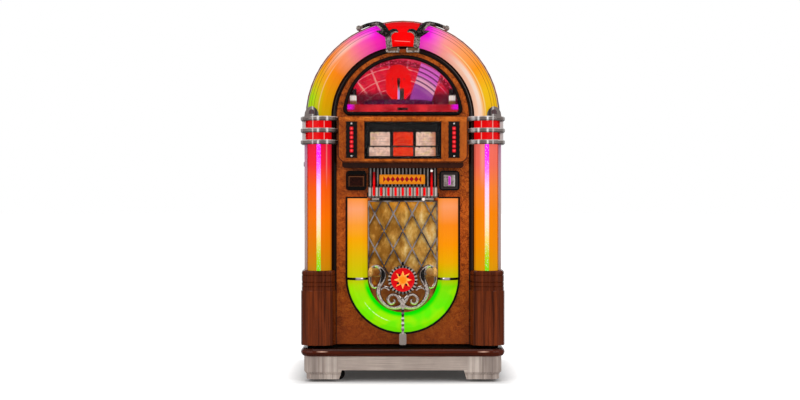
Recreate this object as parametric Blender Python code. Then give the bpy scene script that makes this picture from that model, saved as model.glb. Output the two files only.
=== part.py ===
"""A full-size bubbler jukebox with an arched, illuminated front, in metres.

X runs to the viewer's right, Y to the rear and Z up. The origin is on the floor under the
centre of the cabinet. Everything that swings out with the front door hangs on one empty,
door_pivot, which stands on the hinge axis at the right-hand side.
"""
import math

import bmesh
import bpy
from mathutils import Vector

# Widths and depths of the whole piece of furniture
BODY_HALF_WIDTH = 0.409
SHOULDER_OVERHANG = 0.0195
DEPTH = 0.700

# Widths of the bands of the front, from the sides in
COLUMN_EDGE = 0.0083
COLUMN_WIDTH = 0.1004
TRIM_RING_GAP = 0.001
TRIM_RING_WIDTH = 0.0208
TITLE_BOX_MARGIN = 0.0085
BUTTON_INSET = 0.057
COIN_INSET = 0.074
COIN_TO_TRIM = 0.051
U_LENS_MARGIN = 0.0455
U_LENS_WIDTH = 0.085
WINDOW_MARGIN = 0.0415

# Heights of the bands of the front, from the floor up
FOOT_CLEARANCE = 0.012
PLINTH_HEIGHT = 0.0957
MOULDING_HEIGHT = 0.033
DOOR_GAP = 0.012
PILASTER_HEIGHT = 0.311
COLUMN_HEIGHT = 0.528
COLLAR_HEIGHT = 0.117
COLLAR_OVER_SPRING = 0.004

# Fits shared by every joint between neighbours
SEAT_GAP = 0.0003
RUNNING_GAP = 0.0006
OVERRUN = 0.004
EMBED = 0.001

# Depths of the door and of the reliefs on it
FRONT_RELIEF = 0.075
DOOR_DEPTH = 0.100
DOOR_FACE_THICKNESS = 0.020
SHELL_WALL = 0.018

# Places that follow from the bands
SHOULDER_HALF_WIDTH = BODY_HALF_WIDTH + SHOULDER_OVERHANG
COLUMN_INNER_X = BODY_HALF_WIDTH - COLUMN_EDGE - COLUMN_WIDTH
TRIM_RING_RADIUS = COLUMN_INNER_X - TRIM_RING_GAP - TRIM_RING_WIDTH
TITLE_BOX_HALF_WIDTH = TRIM_RING_RADIUS - TITLE_BOX_MARGIN
BUTTON_X = TITLE_BOX_HALF_WIDTH - BUTTON_INSET
COIN_X = TITLE_BOX_HALF_WIDTH - COIN_INSET
TRIM_HALF_WIDTH = COIN_X - COIN_TO_TRIM
U_INNER_HALF = TRIM_RING_RADIUS - U_LENS_MARGIN - U_LENS_WIDTH
WINDOW_RADIUS = TRIM_RING_RADIUS - WINDOW_MARGIN
FRONT_Y = -DEPTH / 2
REAR_Y = DEPTH / 2
DOOR_FACE_Y = FRONT_Y + FRONT_RELIEF
DOOR_BACK_Y = DOOR_FACE_Y + DOOR_DEPTH
ON_DOOR_Y = DOOR_FACE_Y - SEAT_GAP
PLINTH_TOP_Z = FOOT_CLEARANCE + PLINTH_HEIGHT
MOULDING_TOP_Z = PLINTH_TOP_Z + SEAT_GAP + MOULDING_HEIGHT
DOOR_BOTTOM_Z = MOULDING_TOP_Z + DOOR_GAP
PILASTER_TOP_Z = DOOR_BOTTOM_Z + PILASTER_HEIGHT
COLUMN_TOP_Z = PILASTER_TOP_Z + COLUMN_HEIGHT
COLLAR_TOP_Z = COLUMN_TOP_Z + COLLAR_HEIGHT
ARCH_SPRING_Z = COLLAR_TOP_Z - COLLAR_OVER_SPRING

# Facets of the round forms
ARCH_STEPS = 28
LENS_STEPS = 6
CORNER_STEPS = 3
BARREL_STEPS = 12
WHEEL_STEPS = 16

# The swinging door
HINGE_OFFSET = 0.006
HINGE_X = BODY_HALF_WIDTH + HINGE_OFFSET


def clear_scene():
    """Empty the scene without closing the file."""
    for old in list(bpy.data.objects):
        bpy.data.objects.remove(old, do_unlink=True)


def finish(obj, colour, roughness, metallic):
    """Give an object its own plain material."""
    look = bpy.data.materials.new(obj.name + "_finish")
    look.use_nodes = True
    shader = look.node_tree.nodes["Principled BSDF"]
    shader.inputs["Base Color"].default_value = (*colour, 1)
    shader.inputs["Roughness"].default_value = roughness
    shader.inputs["Metallic"].default_value = metallic
    obj.data.materials.append(look)


def make(name, bm, look, origin=(0, 0, 0), parent=None):
    """Turn a bmesh in world coordinates into a named object that turns about its origin."""
    bmesh.ops.recalc_face_normals(bm, faces=bm.faces)
    bmesh.ops.translate(bm, verts=bm.verts, vec=-Vector(origin))
    mesh = bpy.data.meshes.new(name)
    bm.to_mesh(mesh)
    bm.free()
    obj = bpy.data.objects.new(name, mesh)
    obj.location = origin
    if parent is not None:
        obj.parent = parent
        obj.location = Vector(origin) - parent.location
    bpy.context.scene.collection.objects.link(obj)
    if look is not None:
        finish(obj, *look)
    return obj


def combine(target, bm, operation, parent=None):
    """Join a tool shape to a target, or cut it away, and keep the tool out of the model."""
    name = "{}_{}_{}".format(target.name, operation.lower(), len(target.modifiers))
    tool = make(name, bm, None, parent=parent)
    tool.hide_render = True
    tool.display_type = "WIRE"
    boolean = target.modifiers.new(name, "BOOLEAN")
    boolean.solver = "EXACT"
    boolean.operation = operation
    boolean.object = tool


def join(target, bm, parent=None):
    """Grow a target by a shape that bites into it."""
    combine(target, bm, "UNION", parent)


def cut(target, bm, parent=None):
    """Take a shape out of a target."""
    combine(target, bm, "DIFFERENCE", parent)


def round_shading(obj, angle=math.radians(35)):
    """Shade a round piece smooth up to its real edges."""
    obj.data.shade_smooth()
    obj.data.set_sharp_from_angle(angle=angle)


def loft(rings, closed=False):
    """Skin a row of rings that all have the same number of points."""
    bm = bmesh.new()
    rows = [[bm.verts.new(point) for point in ring] for ring in rings]
    pairs = list(zip(rows, rows[1:]))
    if closed:
        pairs.append((rows[-1], rows[0]))
    else:
        bm.faces.new(rows[0])
        bm.faces.new(rows[-1])
    for first, second in pairs:
        for here in range(len(first)):
            after = (here + 1) % len(first)
            bm.faces.new((first[here], first[after], second[after], second[here]))
    return bm


def merged(*shapes):
    """Put several shapes that don't touch into one bmesh."""
    whole = bmesh.new()
    for shape in shapes:
        mesh = bpy.data.meshes.new("merged")
        shape.to_mesh(mesh)
        shape.free()
        whole.from_mesh(mesh)
        bpy.data.meshes.remove(mesh)
    return whole


def front_prism(outline, front_y, back_y):
    """Extrude an outline in X and Z along Y."""
    return loft([[(x, y, z) for x, z in outline] for y in (front_y, back_y)])


def plan_prism(outline, bottom_z, top_z):
    """Extrude an outline in X and Y along Z."""
    return loft([[(x, y, z) for x, y in outline] for z in (bottom_z, top_z)])


def side_prism(outline, left_x, right_x):
    """Extrude an outline in Y and Z along X."""
    return loft([[(x, y, z) for y, z in outline] for x in (left_x, right_x)])


def box(x_range, y_range, z_range):
    """A plain block between two limits on each axis."""
    outline = [(x_range[0], y_range[0]), (x_range[1], y_range[0]),
               (x_range[1], y_range[1]), (x_range[0], y_range[1])]
    return plan_prism(outline, z_range[0], z_range[1])


def around(middle, half):
    """The two limits at the same distance from a middle."""
    return middle - half, middle + half


def arc(centre, radii, start, end, steps):
    """Points on an ellipse arc from one angle to another, in degrees."""
    points = []
    for step in range(steps + 1):
        angle = math.radians(start + (end - start) * step / steps)
        points.append((centre[0] + radii[0] * math.cos(angle), centre[1] + radii[1] * math.sin(angle)))
    return points


def rounded(x_range, z_range, radius, steps=CORNER_STEPS):
    """A rectangle with four round corners."""
    left, right = x_range[0] + radius, x_range[1] - radius
    low, high = z_range[0] + radius, z_range[1] - radius
    corners = (((right, low), -90), ((right, high), 0), ((left, high), 90), ((left, low), 180))
    points = []
    for centre, start in corners:
        points += arc(centre, (radius, radius), start, start + 90, steps)
    return points


def disc(centre, radius, steps, phase=0):
    """A regular outline round a centre, with a flat at the bottom when the phase is half a step."""
    return arc(centre, (radius, radius), phase, phase + 360 - 360 / steps, steps - 1)


def arch_outline(half_width, spring_z, bottom_z, steps=ARCH_STEPS):
    """A round arch on two straight legs."""
    crown = arc((0, spring_z), (half_width, half_width), 0, 180, steps)
    return [(half_width, bottom_z)] + crown + [(-half_width, bottom_z)]


def arc_stations(centre, radius, start, end, steps):
    """Places along an arc with the direction that points away from its centre."""
    stations = []
    for step in range(steps + 1):
        angle = math.radians(start + (end - start) * step / steps)
        outward = (math.cos(angle), math.sin(angle))
        place = (centre[0] + radius * outward[0], centre[1] + radius * outward[1])
        stations.append((place, outward))
    return stations


def sweep(stations, section, closed=False):
    """Carry a section of (outward, y) points along stations in the plane of the front."""
    rings = []
    for (x, z), (out_x, out_z) in stations:
        rings.append([(x + away * out_x, y, z + away * out_z) for away, y in section])
    return loft(rings, closed)


def half_round(inner, outer, back_y, bulge, steps=LENS_STEPS):
    """A section that is flat at the back and swells forward."""
    middle = (inner + outer) / 2
    half = (outer - inner) / 2
    return arc((middle, back_y), (half, bulge), 180, 360, steps)


def mirrored(outline):
    """The same outline on the other side of the centre plane."""
    return [(-x, other) for x, other in reversed(outline)]


def turned(profile, centre, axis, steps, phase=0):
    """Turn a closed profile of (radius, along) points about an axis through a centre."""
    rings = []
    for step in range(steps):
        angle = math.radians(phase + 360 * step / steps)
        ring = []
        for radius, along in profile:
            across = (radius * math.cos(angle), radius * math.sin(angle))
            if axis == "X":
                offset = (along, across[0], across[1])
            elif axis == "Y":
                offset = (across[0], along, across[1])
            else:
                offset = (across[0], across[1], along)
            ring.append(Vector(centre) + Vector(offset))
        rings.append(ring)
    return loft(rings, closed=True)


def rod(radius, along_range, centre, axis, steps=BARREL_STEPS, phase=0):
    """A solid bar with a flat face at each end."""
    ends = []
    for along in along_range:
        ring = []
        for across in disc((0, 0), radius, steps, phase):
            if axis == "X":
                offset = (along, across[0], across[1])
            elif axis == "Y":
                offset = (across[0], along, across[1])
            else:
                offset = (across[0], across[1], along)
            ring.append(Vector(centre) + Vector(offset))
        ends.append(ring)
    return loft(ends)


# Cabinet shell, rear cover and amplifier
DOOR_SEAL = 0.0006
REAR_COVER_THICKNESS = 0.012
REAR_COVER_INSET = 0.010
VENT_COLUMNS = 2
VENT_ROWS = 6
VENT_HALF_LENGTH = 0.065
VENT_HEIGHT = 0.008
VENT_PITCH = 0.024
VENT_MIDDLE_X = 0.150
INLET_HALF_WIDTH = 0.015
INLET_HEIGHT = 0.024
INLET_DEPTH = 0.008
INLET_ABOVE_EDGE = 0.060
AMPLIFIER_HALF_WIDTH = 0.170
AMPLIFIER_DEPTH = 0.220
AMPLIFIER_HEIGHT = 0.045
AMPLIFIER_FROM_REAR = 0.0427
TRANSFORMER_SIZE = 0.080
COOLER_FINS = 6
COOLER_FIN_THICKNESS = 0.006
COOLER_HEIGHT = 0.050

SHELL_FRONT_Y = DOOR_BACK_Y + DOOR_SEAL
SHELL_REAR_Y = REAR_Y - REAR_COVER_THICKNESS - SEAT_GAP
SHELL_BOTTOM_Z = MOULDING_TOP_Z + SEAT_GAP
SHELL_FLOOR_Z = SHELL_BOTTOM_Z + SHELL_WALL
SHELL_INNER_HALF = BODY_HALF_WIDTH - SHELL_WALL


def cabinet():
    """The arched wooden shell with its floor, open to the front and the rear."""
    outer = arch_outline(BODY_HALF_WIDTH, ARCH_SPRING_Z, SHELL_BOTTOM_Z)
    inner = arch_outline(SHELL_INNER_HALF, ARCH_SPRING_Z, SHELL_FLOOR_Z)
    shell = make("cabinet", front_prism(outer, SHELL_FRONT_Y, SHELL_REAR_Y), ((0.35, 0.12, 0.04), 0.35, 0))
    cut(shell, front_prism(inner, SHELL_FRONT_Y - OVERRUN, SHELL_REAR_Y + OVERRUN))


def rear_cover():
    """The service panel with two fields of vents and the pocket of the mains inlet."""
    bottom_z = SHELL_BOTTOM_Z + REAR_COVER_INSET
    outline = arch_outline(BODY_HALF_WIDTH - REAR_COVER_INSET, ARCH_SPRING_Z, bottom_z)
    front_y = REAR_Y - REAR_COVER_THICKNESS
    cover = make("rear_cover", front_prism(outline, front_y, REAR_Y), ((0.08, 0.07, 0.06), 0.8, 0))
    slots = []
    middle_z = (bottom_z + ARCH_SPRING_Z) / 2
    for column in range(VENT_COLUMNS):
        middle_x = VENT_MIDDLE_X * (2 * column - 1)
        for row in range(VENT_ROWS):
            slot_z = middle_z + (row - (VENT_ROWS - 1) / 2) * VENT_PITCH
            x_range = around(middle_x, VENT_HALF_LENGTH)
            z_range = around(slot_z, VENT_HEIGHT / 2)
            slots.append(box(x_range, (front_y - OVERRUN, REAR_Y + OVERRUN), z_range))
    inlet_z = bottom_z + INLET_ABOVE_EDGE
    pocket_y = (REAR_Y - INLET_DEPTH, REAR_Y + OVERRUN)
    slots.append(box(around(0, INLET_HALF_WIDTH), pocket_y, (inlet_z, inlet_z + INLET_HEIGHT)))
    cut(cover, merged(*slots))


def amplifier():
    """The amplifier chassis on the cabinet floor, with its transformer and cooler."""
    floor_z = SHELL_FLOOR_Z + SEAT_GAP
    far_y = SHELL_REAR_Y - AMPLIFIER_FROM_REAR
    near_y = far_y - AMPLIFIER_DEPTH
    top_z = floor_z + AMPLIFIER_HEIGHT
    chassis = make("amplifier", box(around(0, AMPLIFIER_HALF_WIDTH), (near_y, far_y), (floor_z, top_z)),
                   ((0.45, 0.45, 0.47), 0.4, 1))
    edge_x = -AMPLIFIER_HALF_WIDTH + TRANSFORMER_SIZE / 4
    middle_y = (near_y + far_y) / 2
    join(chassis, box((edge_x, edge_x + TRANSFORMER_SIZE), around(middle_y, TRANSFORMER_SIZE / 2),
                      (top_z - EMBED, top_z + TRANSFORMER_SIZE)))
    fins = []
    for fin in range(COOLER_FINS):
        fin_x = AMPLIFIER_HALF_WIDTH - COOLER_FIN_THICKNESS * (2 * fin + 2)
        fins.append(box((fin_x - COOLER_FIN_THICKNESS, fin_x), (near_y + SHELL_WALL, far_y - SHELL_WALL),
                        (top_z - EMBED, top_z + COOLER_HEIGHT)))
    join(chassis, merged(*fins))


# Base: moulding, aluminium plinth, bottom board and casters
MOULDING_OVERHANG = 0.0415
MOULDING_INSET = 0.002
MOULDING_CORNER = 0.010
BULLNOSE = 0.014
PLINTH_INSET = 0.013
PLINTH_SETBACK = 0.014
PLINTH_WALL = 0.035
PLINTH_CORNER = 0.006
PLINTH_STEP = 0.010
PLINTH_STEP_TOP = 0.031
PLINTH_STEP_DROP = 0.012
RAIL_HEIGHT = 0.057
FRONT_FOOT_WIDTH = 0.1365
FOOT_SLANT = 0.013
SIDE_FOOT_LENGTH = 0.140
CASTER_INSET = 0.1135
CASTER_FRONT_INSET = 0.110
CASTER_REAR_INSET = 0.085
WHEEL_RADIUS = 0.025
WHEEL_WIDTH = 0.020
WHEEL_EDGE = 0.002
WHEEL_BORE = 0.0041
AXLE_RADIUS = 0.0035
CHEEK_GAP = 0.001
CHEEK_THICKNESS = 0.003
FORK_TRAIL = 0.030
FORK_CLEARANCE = 0.009
FORK_PLATE = 0.004
FORK_PLATE_RADIUS = 0.024
FORK_EYE = 0.008
CASTER_BLOCK_HALF = 0.045

MOULDING_HALF_WIDTH = SHOULDER_HALF_WIDTH - MOULDING_INSET
PLINTH_HALF_WIDTH = MOULDING_HALF_WIDTH - PLINTH_INSET
CASTER_X = PLINTH_HALF_WIDTH - CASTER_INSET
MOULDING_PATH_HALF = MOULDING_HALF_WIDTH - MOULDING_OVERHANG
MOULDING_PATH_FRONT = FRONT_Y + MOULDING_OVERHANG
WHEEL_AXIS_Z = WHEEL_RADIUS * math.cos(math.pi / WHEEL_STEPS)
FORK_TOP_Z = WHEEL_AXIS_Z + WHEEL_RADIUS + FORK_CLEARANCE + FORK_PLATE
CASTER_FRONT_Y = FRONT_Y + CASTER_FRONT_INSET
CASTER_REAR_Y = REAR_Y - CASTER_REAR_INSET
CHEEK_INNER = WHEEL_WIDTH / 2 + CHEEK_GAP
CHEEK_OUTER = CHEEK_INNER + CHEEK_THICKNESS


def wrap_stations(half_width, front_y, corner, rear_y):
    """Places in plan from the left rear, round the two front corners, to the right rear."""
    stations = [((-half_width, rear_y), (-1, 0))]
    stations += arc_stations((-half_width + corner, front_y + corner), corner, 180, 270, CORNER_STEPS)
    stations += arc_stations((half_width - corner, front_y + corner), corner, 270, 360, CORNER_STEPS)
    stations.append(((half_width, rear_y), (1, 0)))
    return stations


def wrap(stations, section):
    """Carry a section of (outward, z) points along stations in plan."""
    rings = []
    for (x, y), (out_x, out_y) in stations:
        rings.append([(x + away * out_x, y + away * out_y, z) for away, z in section])
    return loft(rings)


def base_moulding():
    """The dark bullnose that runs round the front and both sides above the plinth."""
    low_z, high_z = PLINTH_TOP_Z + SEAT_GAP, MOULDING_TOP_Z
    nose = arc((MOULDING_OVERHANG - BULLNOSE, (low_z + high_z) / 2), (BULLNOSE, MOULDING_HEIGHT / 2),
               -90, 90, LENS_STEPS)
    section = [(0, low_z)] + nose + [(0, high_z)]
    path = wrap_stations(MOULDING_PATH_HALF, MOULDING_PATH_FRONT, MOULDING_CORNER, SHELL_REAR_Y)
    round_shading(make("base_moulding", wrap(path, section), ((0.06, 0.015, 0.006), 0.2, 0)))


def plinth():
    """The satin aluminium skirt: a stepped rail on four corner feet, open at the rear."""
    inner_half = PLINTH_HALF_WIDTH - PLINTH_WALL
    inner_front = FRONT_Y + PLINTH_SETBACK + PLINTH_WALL
    step_z = FOOT_CLEARANCE + PLINTH_STEP_TOP
    lower = PLINTH_WALL - PLINTH_STEP
    section = [(0, FOOT_CLEARANCE), (lower, FOOT_CLEARANCE), (lower, step_z - PLINTH_STEP_DROP),
               (PLINTH_WALL, step_z), (PLINTH_WALL, PLINTH_TOP_Z), (0, PLINTH_TOP_Z)]
    path = wrap_stations(inner_half, inner_front, PLINTH_CORNER, SHELL_REAR_Y)
    skirt = make("plinth", wrap(path, section), ((0.42, 0.37, 0.33), 0.35, 1))
    rail_z = PLINTH_TOP_Z - RAIL_HEIGHT
    gap_half = PLINTH_HALF_WIDTH - PLINTH_STEP - FRONT_FOOT_WIDTH
    low_z = FOOT_CLEARANCE - OVERRUN
    front_gap = [(-gap_half + FOOT_SLANT, rail_z), (-gap_half, low_z), (gap_half, low_z),
                 (gap_half - FOOT_SLANT, rail_z)]
    cut(skirt, front_prism(front_gap, FRONT_Y - OVERRUN, inner_front + OVERRUN))
    near_y = FRONT_Y + SIDE_FOOT_LENGTH
    far_y = SHELL_REAR_Y - SIDE_FOOT_LENGTH
    side_gap = [(near_y + FOOT_SLANT, rail_z), (near_y, low_z), (far_y, low_z), (far_y - FOOT_SLANT, rail_z)]
    reach = PLINTH_HALF_WIDTH + OVERRUN
    cut(skirt, side_prism(side_gap, -reach, reach))


def cheek_outline(trail, eye):
    """The side of a caster fork, from its plate down to the eye round the axle."""
    top_z = FORK_TOP_Z - FORK_PLATE + EMBED
    return [(-FORK_PLATE_RADIUS / 2, top_z), (-FORK_PLATE_RADIUS / 2, top_z - eye),
            (trail - eye, WHEEL_AXIS_Z - eye), (trail + eye, WHEEL_AXIS_Z - eye),
            (trail + eye, WHEEL_AXIS_Z + eye), (FORK_PLATE_RADIUS / 2, top_z)]


def base_board():
    """The bottom board on the plinth, with four caster blocks and the two rigid rear brackets."""
    front_y = MOULDING_PATH_FRONT + SEAT_GAP
    board_half = MOULDING_PATH_HALF - SEAT_GAP
    low_z = PLINTH_TOP_Z + SEAT_GAP
    corner = MOULDING_CORNER - SEAT_GAP
    plan = [place for place, outward in wrap_stations(board_half, front_y, corner, SHELL_REAR_Y)]
    board = make("base_board", plan_prism(plan, low_z, MOULDING_TOP_Z), ((0.25, 0.15, 0.08), 0.8, 0))
    for side in (-1, 1):
        for middle_y in (CASTER_FRONT_Y, CASTER_REAR_Y):
            bottom_z = FORK_TOP_Z + RUNNING_GAP
            if middle_y == CASTER_REAR_Y:
                bottom_z = FORK_TOP_Z - FORK_PLATE
            join(board, box(around(side * CASTER_X, CASTER_BLOCK_HALF), around(middle_y, CASTER_BLOCK_HALF),
                            (bottom_z, low_z + EMBED)))
        cheek = [(y + CASTER_REAR_Y, z) for y, z in cheek_outline(0, FORK_EYE)]
        join(board, merged(side_prism(cheek, side * CASTER_X - CHEEK_OUTER, side * CASTER_X - CHEEK_INNER),
                           side_prism(cheek, side * CASTER_X + CHEEK_INNER, side * CASTER_X + CHEEK_OUTER)))
        join(board, rod(AXLE_RADIUS, (-CHEEK_OUTER - EMBED, CHEEK_OUTER + EMBED),
                        (side * CASTER_X, CASTER_REAR_Y, WHEEL_AXIS_Z), "X"))


def caster_fork(name, side):
    """A front caster fork that swivels under its block, with the axle of its wheel."""
    middle = (side * CASTER_X, CASTER_FRONT_Y, 0)
    pivot = (side * CASTER_X, CASTER_FRONT_Y, FORK_TOP_Z)
    plate = rod(FORK_PLATE_RADIUS, (FORK_TOP_Z - FORK_PLATE, FORK_TOP_Z), middle, "Z")
    fork = make(name, plate, ((0.7, 0.7, 0.7), 0.3, 1), pivot)
    cheek = [(x + side * CASTER_X, z) for x, z in cheek_outline(FORK_TRAIL, FORK_EYE)]
    join(fork, merged(front_prism(cheek, CASTER_FRONT_Y - CHEEK_OUTER, CASTER_FRONT_Y - CHEEK_INNER),
                      front_prism(cheek, CASTER_FRONT_Y + CHEEK_INNER, CASTER_FRONT_Y + CHEEK_OUTER)))
    join(fork, rod(AXLE_RADIUS, (-CHEEK_OUTER - EMBED, CHEEK_OUTER + EMBED),
                   (side * CASTER_X + FORK_TRAIL, CASTER_FRONT_Y, WHEEL_AXIS_Z), "Y"))


def caster_wheel(name, centre, axis):
    """A rubber wheel with a bore, turned so that one facet lies flat on the floor."""
    half = WHEEL_WIDTH / 2
    rim = WHEEL_RADIUS - WHEEL_EDGE
    profile = [(WHEEL_BORE, -half), (rim, -half), (WHEEL_RADIUS, -half + WHEEL_EDGE),
               (WHEEL_RADIUS, half - WHEEL_EDGE), (rim, half), (WHEEL_BORE, half)]
    shape = turned(profile, centre, axis, WHEEL_STEPS, 180 / WHEEL_STEPS)
    round_shading(make(name, shape, ((0.02, 0.02, 0.02), 0.7, 0), centre))


def casters():
    """Two swivelling casters in front and two rigid ones at the rear."""
    for word, side in (("left", -1), ("right", 1)):
        caster_fork("caster_fork_" + word, side)
        front_centre = (side * CASTER_X + FORK_TRAIL, CASTER_FRONT_Y, WHEEL_AXIS_Z)
        caster_wheel("front_wheel_" + word, front_centre, "Y")
        caster_wheel("rear_wheel_" + word, (side * CASTER_X, CASTER_REAR_Y, WHEEL_AXIS_Z), "X")


# Player behind the window: shelf with its ledge, backdrop, housing, gripper arm and disc carousel
SILL_RAISE = 0.025
SHELF_THICKNESS = 0.018
SHELF_UNDER_SILL = 0.002
SHELF_SETBACK = 0.010
SHELF_BEHIND_RING = 0.040
LEDGE_MARGIN = 0.001
LEDGE_HEIGHT = 0.042
LEDGE_THICKNESS = 0.014
LEDGE_SLOT_HALF = 0.023
LEDGE_SLOT_HEIGHT = 0.008
LEDGE_SLOT_DEPTH = 0.006
LAMP_INSET = 0.024
LAMP_RADIUS = 0.014
LAMP_HEIGHT = 0.112
LAMP_SETBACK = 0.036
BACKDROP_THICKNESS = 0.006
BACKDROP_MARGIN = 0.010
BACKDROP_FROM_EDGE = 0.020
PLAYER_X = -0.0175
PLAYER_MARGIN = 0.025
HOUSING_SIDE_ROOM = 0.041
HOUSING_DEPTH_ROOM = 0.050
HOUSING_WAIST_INSET = 0.0245
HOUSING_WAIST_HEIGHT = 0.081
HOUSING_HIP_HEIGHT = 0.109
HOUSING_SHOULDER_HEIGHT = 0.172
HOUSING_HEIGHT = 0.211
CAROUSEL_RADIUS = 0.155
CAROUSEL_RING = 0.060
CAROUSEL_LIFT = 0.007
CAROUSEL_HEIGHT = 0.060
CAROUSEL_SLOTS = 16
CAROUSEL_SLOT_DEPTH = 0.010
CAROUSEL_SLOT_SHARE = 0.35
SPINDLE_FOOT_HEIGHT = 0.0064
ARM_STAND_OFF = 0.020
ARM_PIVOT_HEIGHT = 0.062
ARM_HALF_WIDTH = 0.005
ARM_LENGTH = 0.082
ARM_TAIL = 0.008
ARM_KNOB_RADIUS = 0.0075
ARM_KNOB_LENGTH = 0.022
ARM_PIN_RADIUS = 0.0025
ARM_PIN_BORE = 0.0031
LUG_THICKNESS = 0.004
LUG_HEIGHT = 0.018
TONE_BLOCK_WIDTH = 0.018
TONE_BLOCK_HEIGHT = 0.060

LEDGE_HALF_WIDTH = WINDOW_RADIUS + LEDGE_MARGIN
LAMP_X = LEDGE_HALF_WIDTH - LAMP_INSET
SILL_Z = ARCH_SPRING_Z + SILL_RAISE
SHELF_TOP_Z = SILL_Z - SHELF_UNDER_SILL
SHELF_FRONT_Y = DOOR_BACK_Y + SHELF_SETBACK
CAROUSEL_BORE = CAROUSEL_RADIUS - CAROUSEL_RING
HOUSING_HALF_WIDTH = CAROUSEL_BORE - HOUSING_SIDE_ROOM
HOUSING_HALF_DEPTH = CAROUSEL_BORE - HOUSING_DEPTH_ROOM
HOUSING_WAIST = HOUSING_HALF_WIDTH - HOUSING_WAIST_INSET
PLAYER_Y = SHELF_FRONT_Y + PLAYER_MARGIN + CAROUSEL_RADIUS
SHELF_REAR_Y = PLAYER_Y + CAROUSEL_RADIUS + SHELF_BEHIND_RING
ARM_Y = PLAYER_Y - HOUSING_HALF_DEPTH - ARM_STAND_OFF
ARM_PIVOT_Z = SHELF_TOP_Z + ARM_PIVOT_HEIGHT


def mechanism_shelf():
    """The shelf across the cabinet with the slotted crimson ledge and the two corner lamps."""
    far_y = SHELF_REAR_Y
    fit_half = SHELL_INNER_HALF * math.cos(math.pi / (2 * ARCH_STEPS)) - SEAT_GAP
    edge_half = math.sqrt(fit_half ** 2 - max(SHELF_TOP_Z - ARCH_SPRING_Z, 0) ** 2)
    shelf = make("mechanism_shelf", box(around(0, edge_half - SEAT_GAP), (SHELF_FRONT_Y, far_y),
                                        (SHELF_TOP_Z - SHELF_THICKNESS, SHELF_TOP_Z)),
                 ((0.55, 0.02, 0.04), 0.4, 0))
    ledge_top = SHELF_TOP_Z + LEDGE_HEIGHT
    ledge_back = SHELF_FRONT_Y + LEDGE_THICKNESS
    ledge_z = (SHELF_TOP_Z - EMBED, ledge_top)
    join(shelf, box(around(0, LEDGE_HALF_WIDTH), (SHELF_FRONT_Y, ledge_back), ledge_z))
    slot_z = SHELF_TOP_Z + LEDGE_HEIGHT / 2
    cut(shelf, box(around(0, LEDGE_SLOT_HALF), (SHELF_FRONT_Y - OVERRUN, SHELF_FRONT_Y + LEDGE_SLOT_DEPTH),
                   around(slot_z, LEDGE_SLOT_HEIGHT / 2)))
    lamp_y = SHELF_FRONT_Y + LAMP_SETBACK
    lamp_range = (SHELF_TOP_Z - EMBED, SHELF_TOP_Z + LAMP_HEIGHT)
    join(shelf, merged(rod(LAMP_RADIUS, lamp_range, (-LAMP_X, lamp_y, 0), "Z"),
                       rod(LAMP_RADIUS, lamp_range, (LAMP_X, lamp_y, 0), "Z")))


def backdrop():
    """The arched board that closes the view behind the player."""
    back_y = SHELF_REAR_Y - BACKDROP_FROM_EDGE
    outline = arch_outline(SHELL_INNER_HALF - BACKDROP_MARGIN, ARCH_SPRING_Z, SHELF_TOP_Z + SEAT_GAP)
    low_z = SHELF_TOP_Z + SEAT_GAP
    outline = [point for point in outline if point[1] >= low_z]
    make("backdrop", front_prism(outline, back_y - BACKDROP_THICKNESS, back_y), ((0.6, 0.02, 0.06), 0.5, 0))


def player_housing():
    """The arch-topped red housing on its round foot, with the lugs of the gripper arm."""
    low_z = SHELF_TOP_Z + SEAT_GAP
    waist_z = low_z + HOUSING_WAIST_HEIGHT
    hip_z = low_z + HOUSING_HIP_HEIGHT
    shoulder_z = low_z + HOUSING_SHOULDER_HEIGHT
    dome = arc((PLAYER_X, shoulder_z), (HOUSING_HALF_WIDTH, HOUSING_HEIGHT - HOUSING_SHOULDER_HEIGHT), 0, 180,
               LENS_STEPS * 2)
    outline = [(PLAYER_X + HOUSING_WAIST, low_z), (PLAYER_X + HOUSING_WAIST, waist_z),
               (PLAYER_X + HOUSING_HALF_WIDTH, hip_z)] + dome
    outline += [(PLAYER_X - HOUSING_HALF_WIDTH, hip_z), (PLAYER_X - HOUSING_WAIST, waist_z),
                (PLAYER_X - HOUSING_WAIST, low_z)]
    front_y = PLAYER_Y - HOUSING_HALF_DEPTH
    housing = make("player_housing", front_prism(outline, front_y, PLAYER_Y + HOUSING_HALF_DEPTH),
                   ((0.8, 0.0, 0.0), 0.3, 0))
    join(housing, rod(CAROUSEL_RADIUS - CAROUSEL_SLOT_DEPTH, (low_z, low_z + SPINDLE_FOOT_HEIGHT),
                      (PLAYER_X, PLAYER_Y, 0), "Z", WHEEL_STEPS))
    block_x = PLAYER_X + ARM_HALF_WIDTH + LUG_THICKNESS + 2 * RUNNING_GAP
    block_z = ARM_PIVOT_Z + LUG_HEIGHT
    join(housing, box((block_x, block_x + TONE_BLOCK_WIDTH), (ARM_Y, front_y + EMBED),
                      (block_z, block_z + TONE_BLOCK_HEIGHT)))
    lug_near = ARM_HALF_WIDTH + RUNNING_GAP
    lug_far = lug_near + LUG_THICKNESS
    lug_y = (ARM_Y - ARM_HALF_WIDTH, front_y + EMBED)
    lug_z = around(ARM_PIVOT_Z, LUG_HEIGHT / 2)
    join(housing, merged(box((PLAYER_X - lug_far, PLAYER_X - lug_near), lug_y, lug_z),
                         box((PLAYER_X + lug_near, PLAYER_X + lug_far), lug_y, lug_z)))
    cut(housing, rod(ARM_PIN_BORE, around(0, lug_far + OVERRUN), (PLAYER_X, ARM_Y, ARM_PIVOT_Z), "X"))


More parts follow.
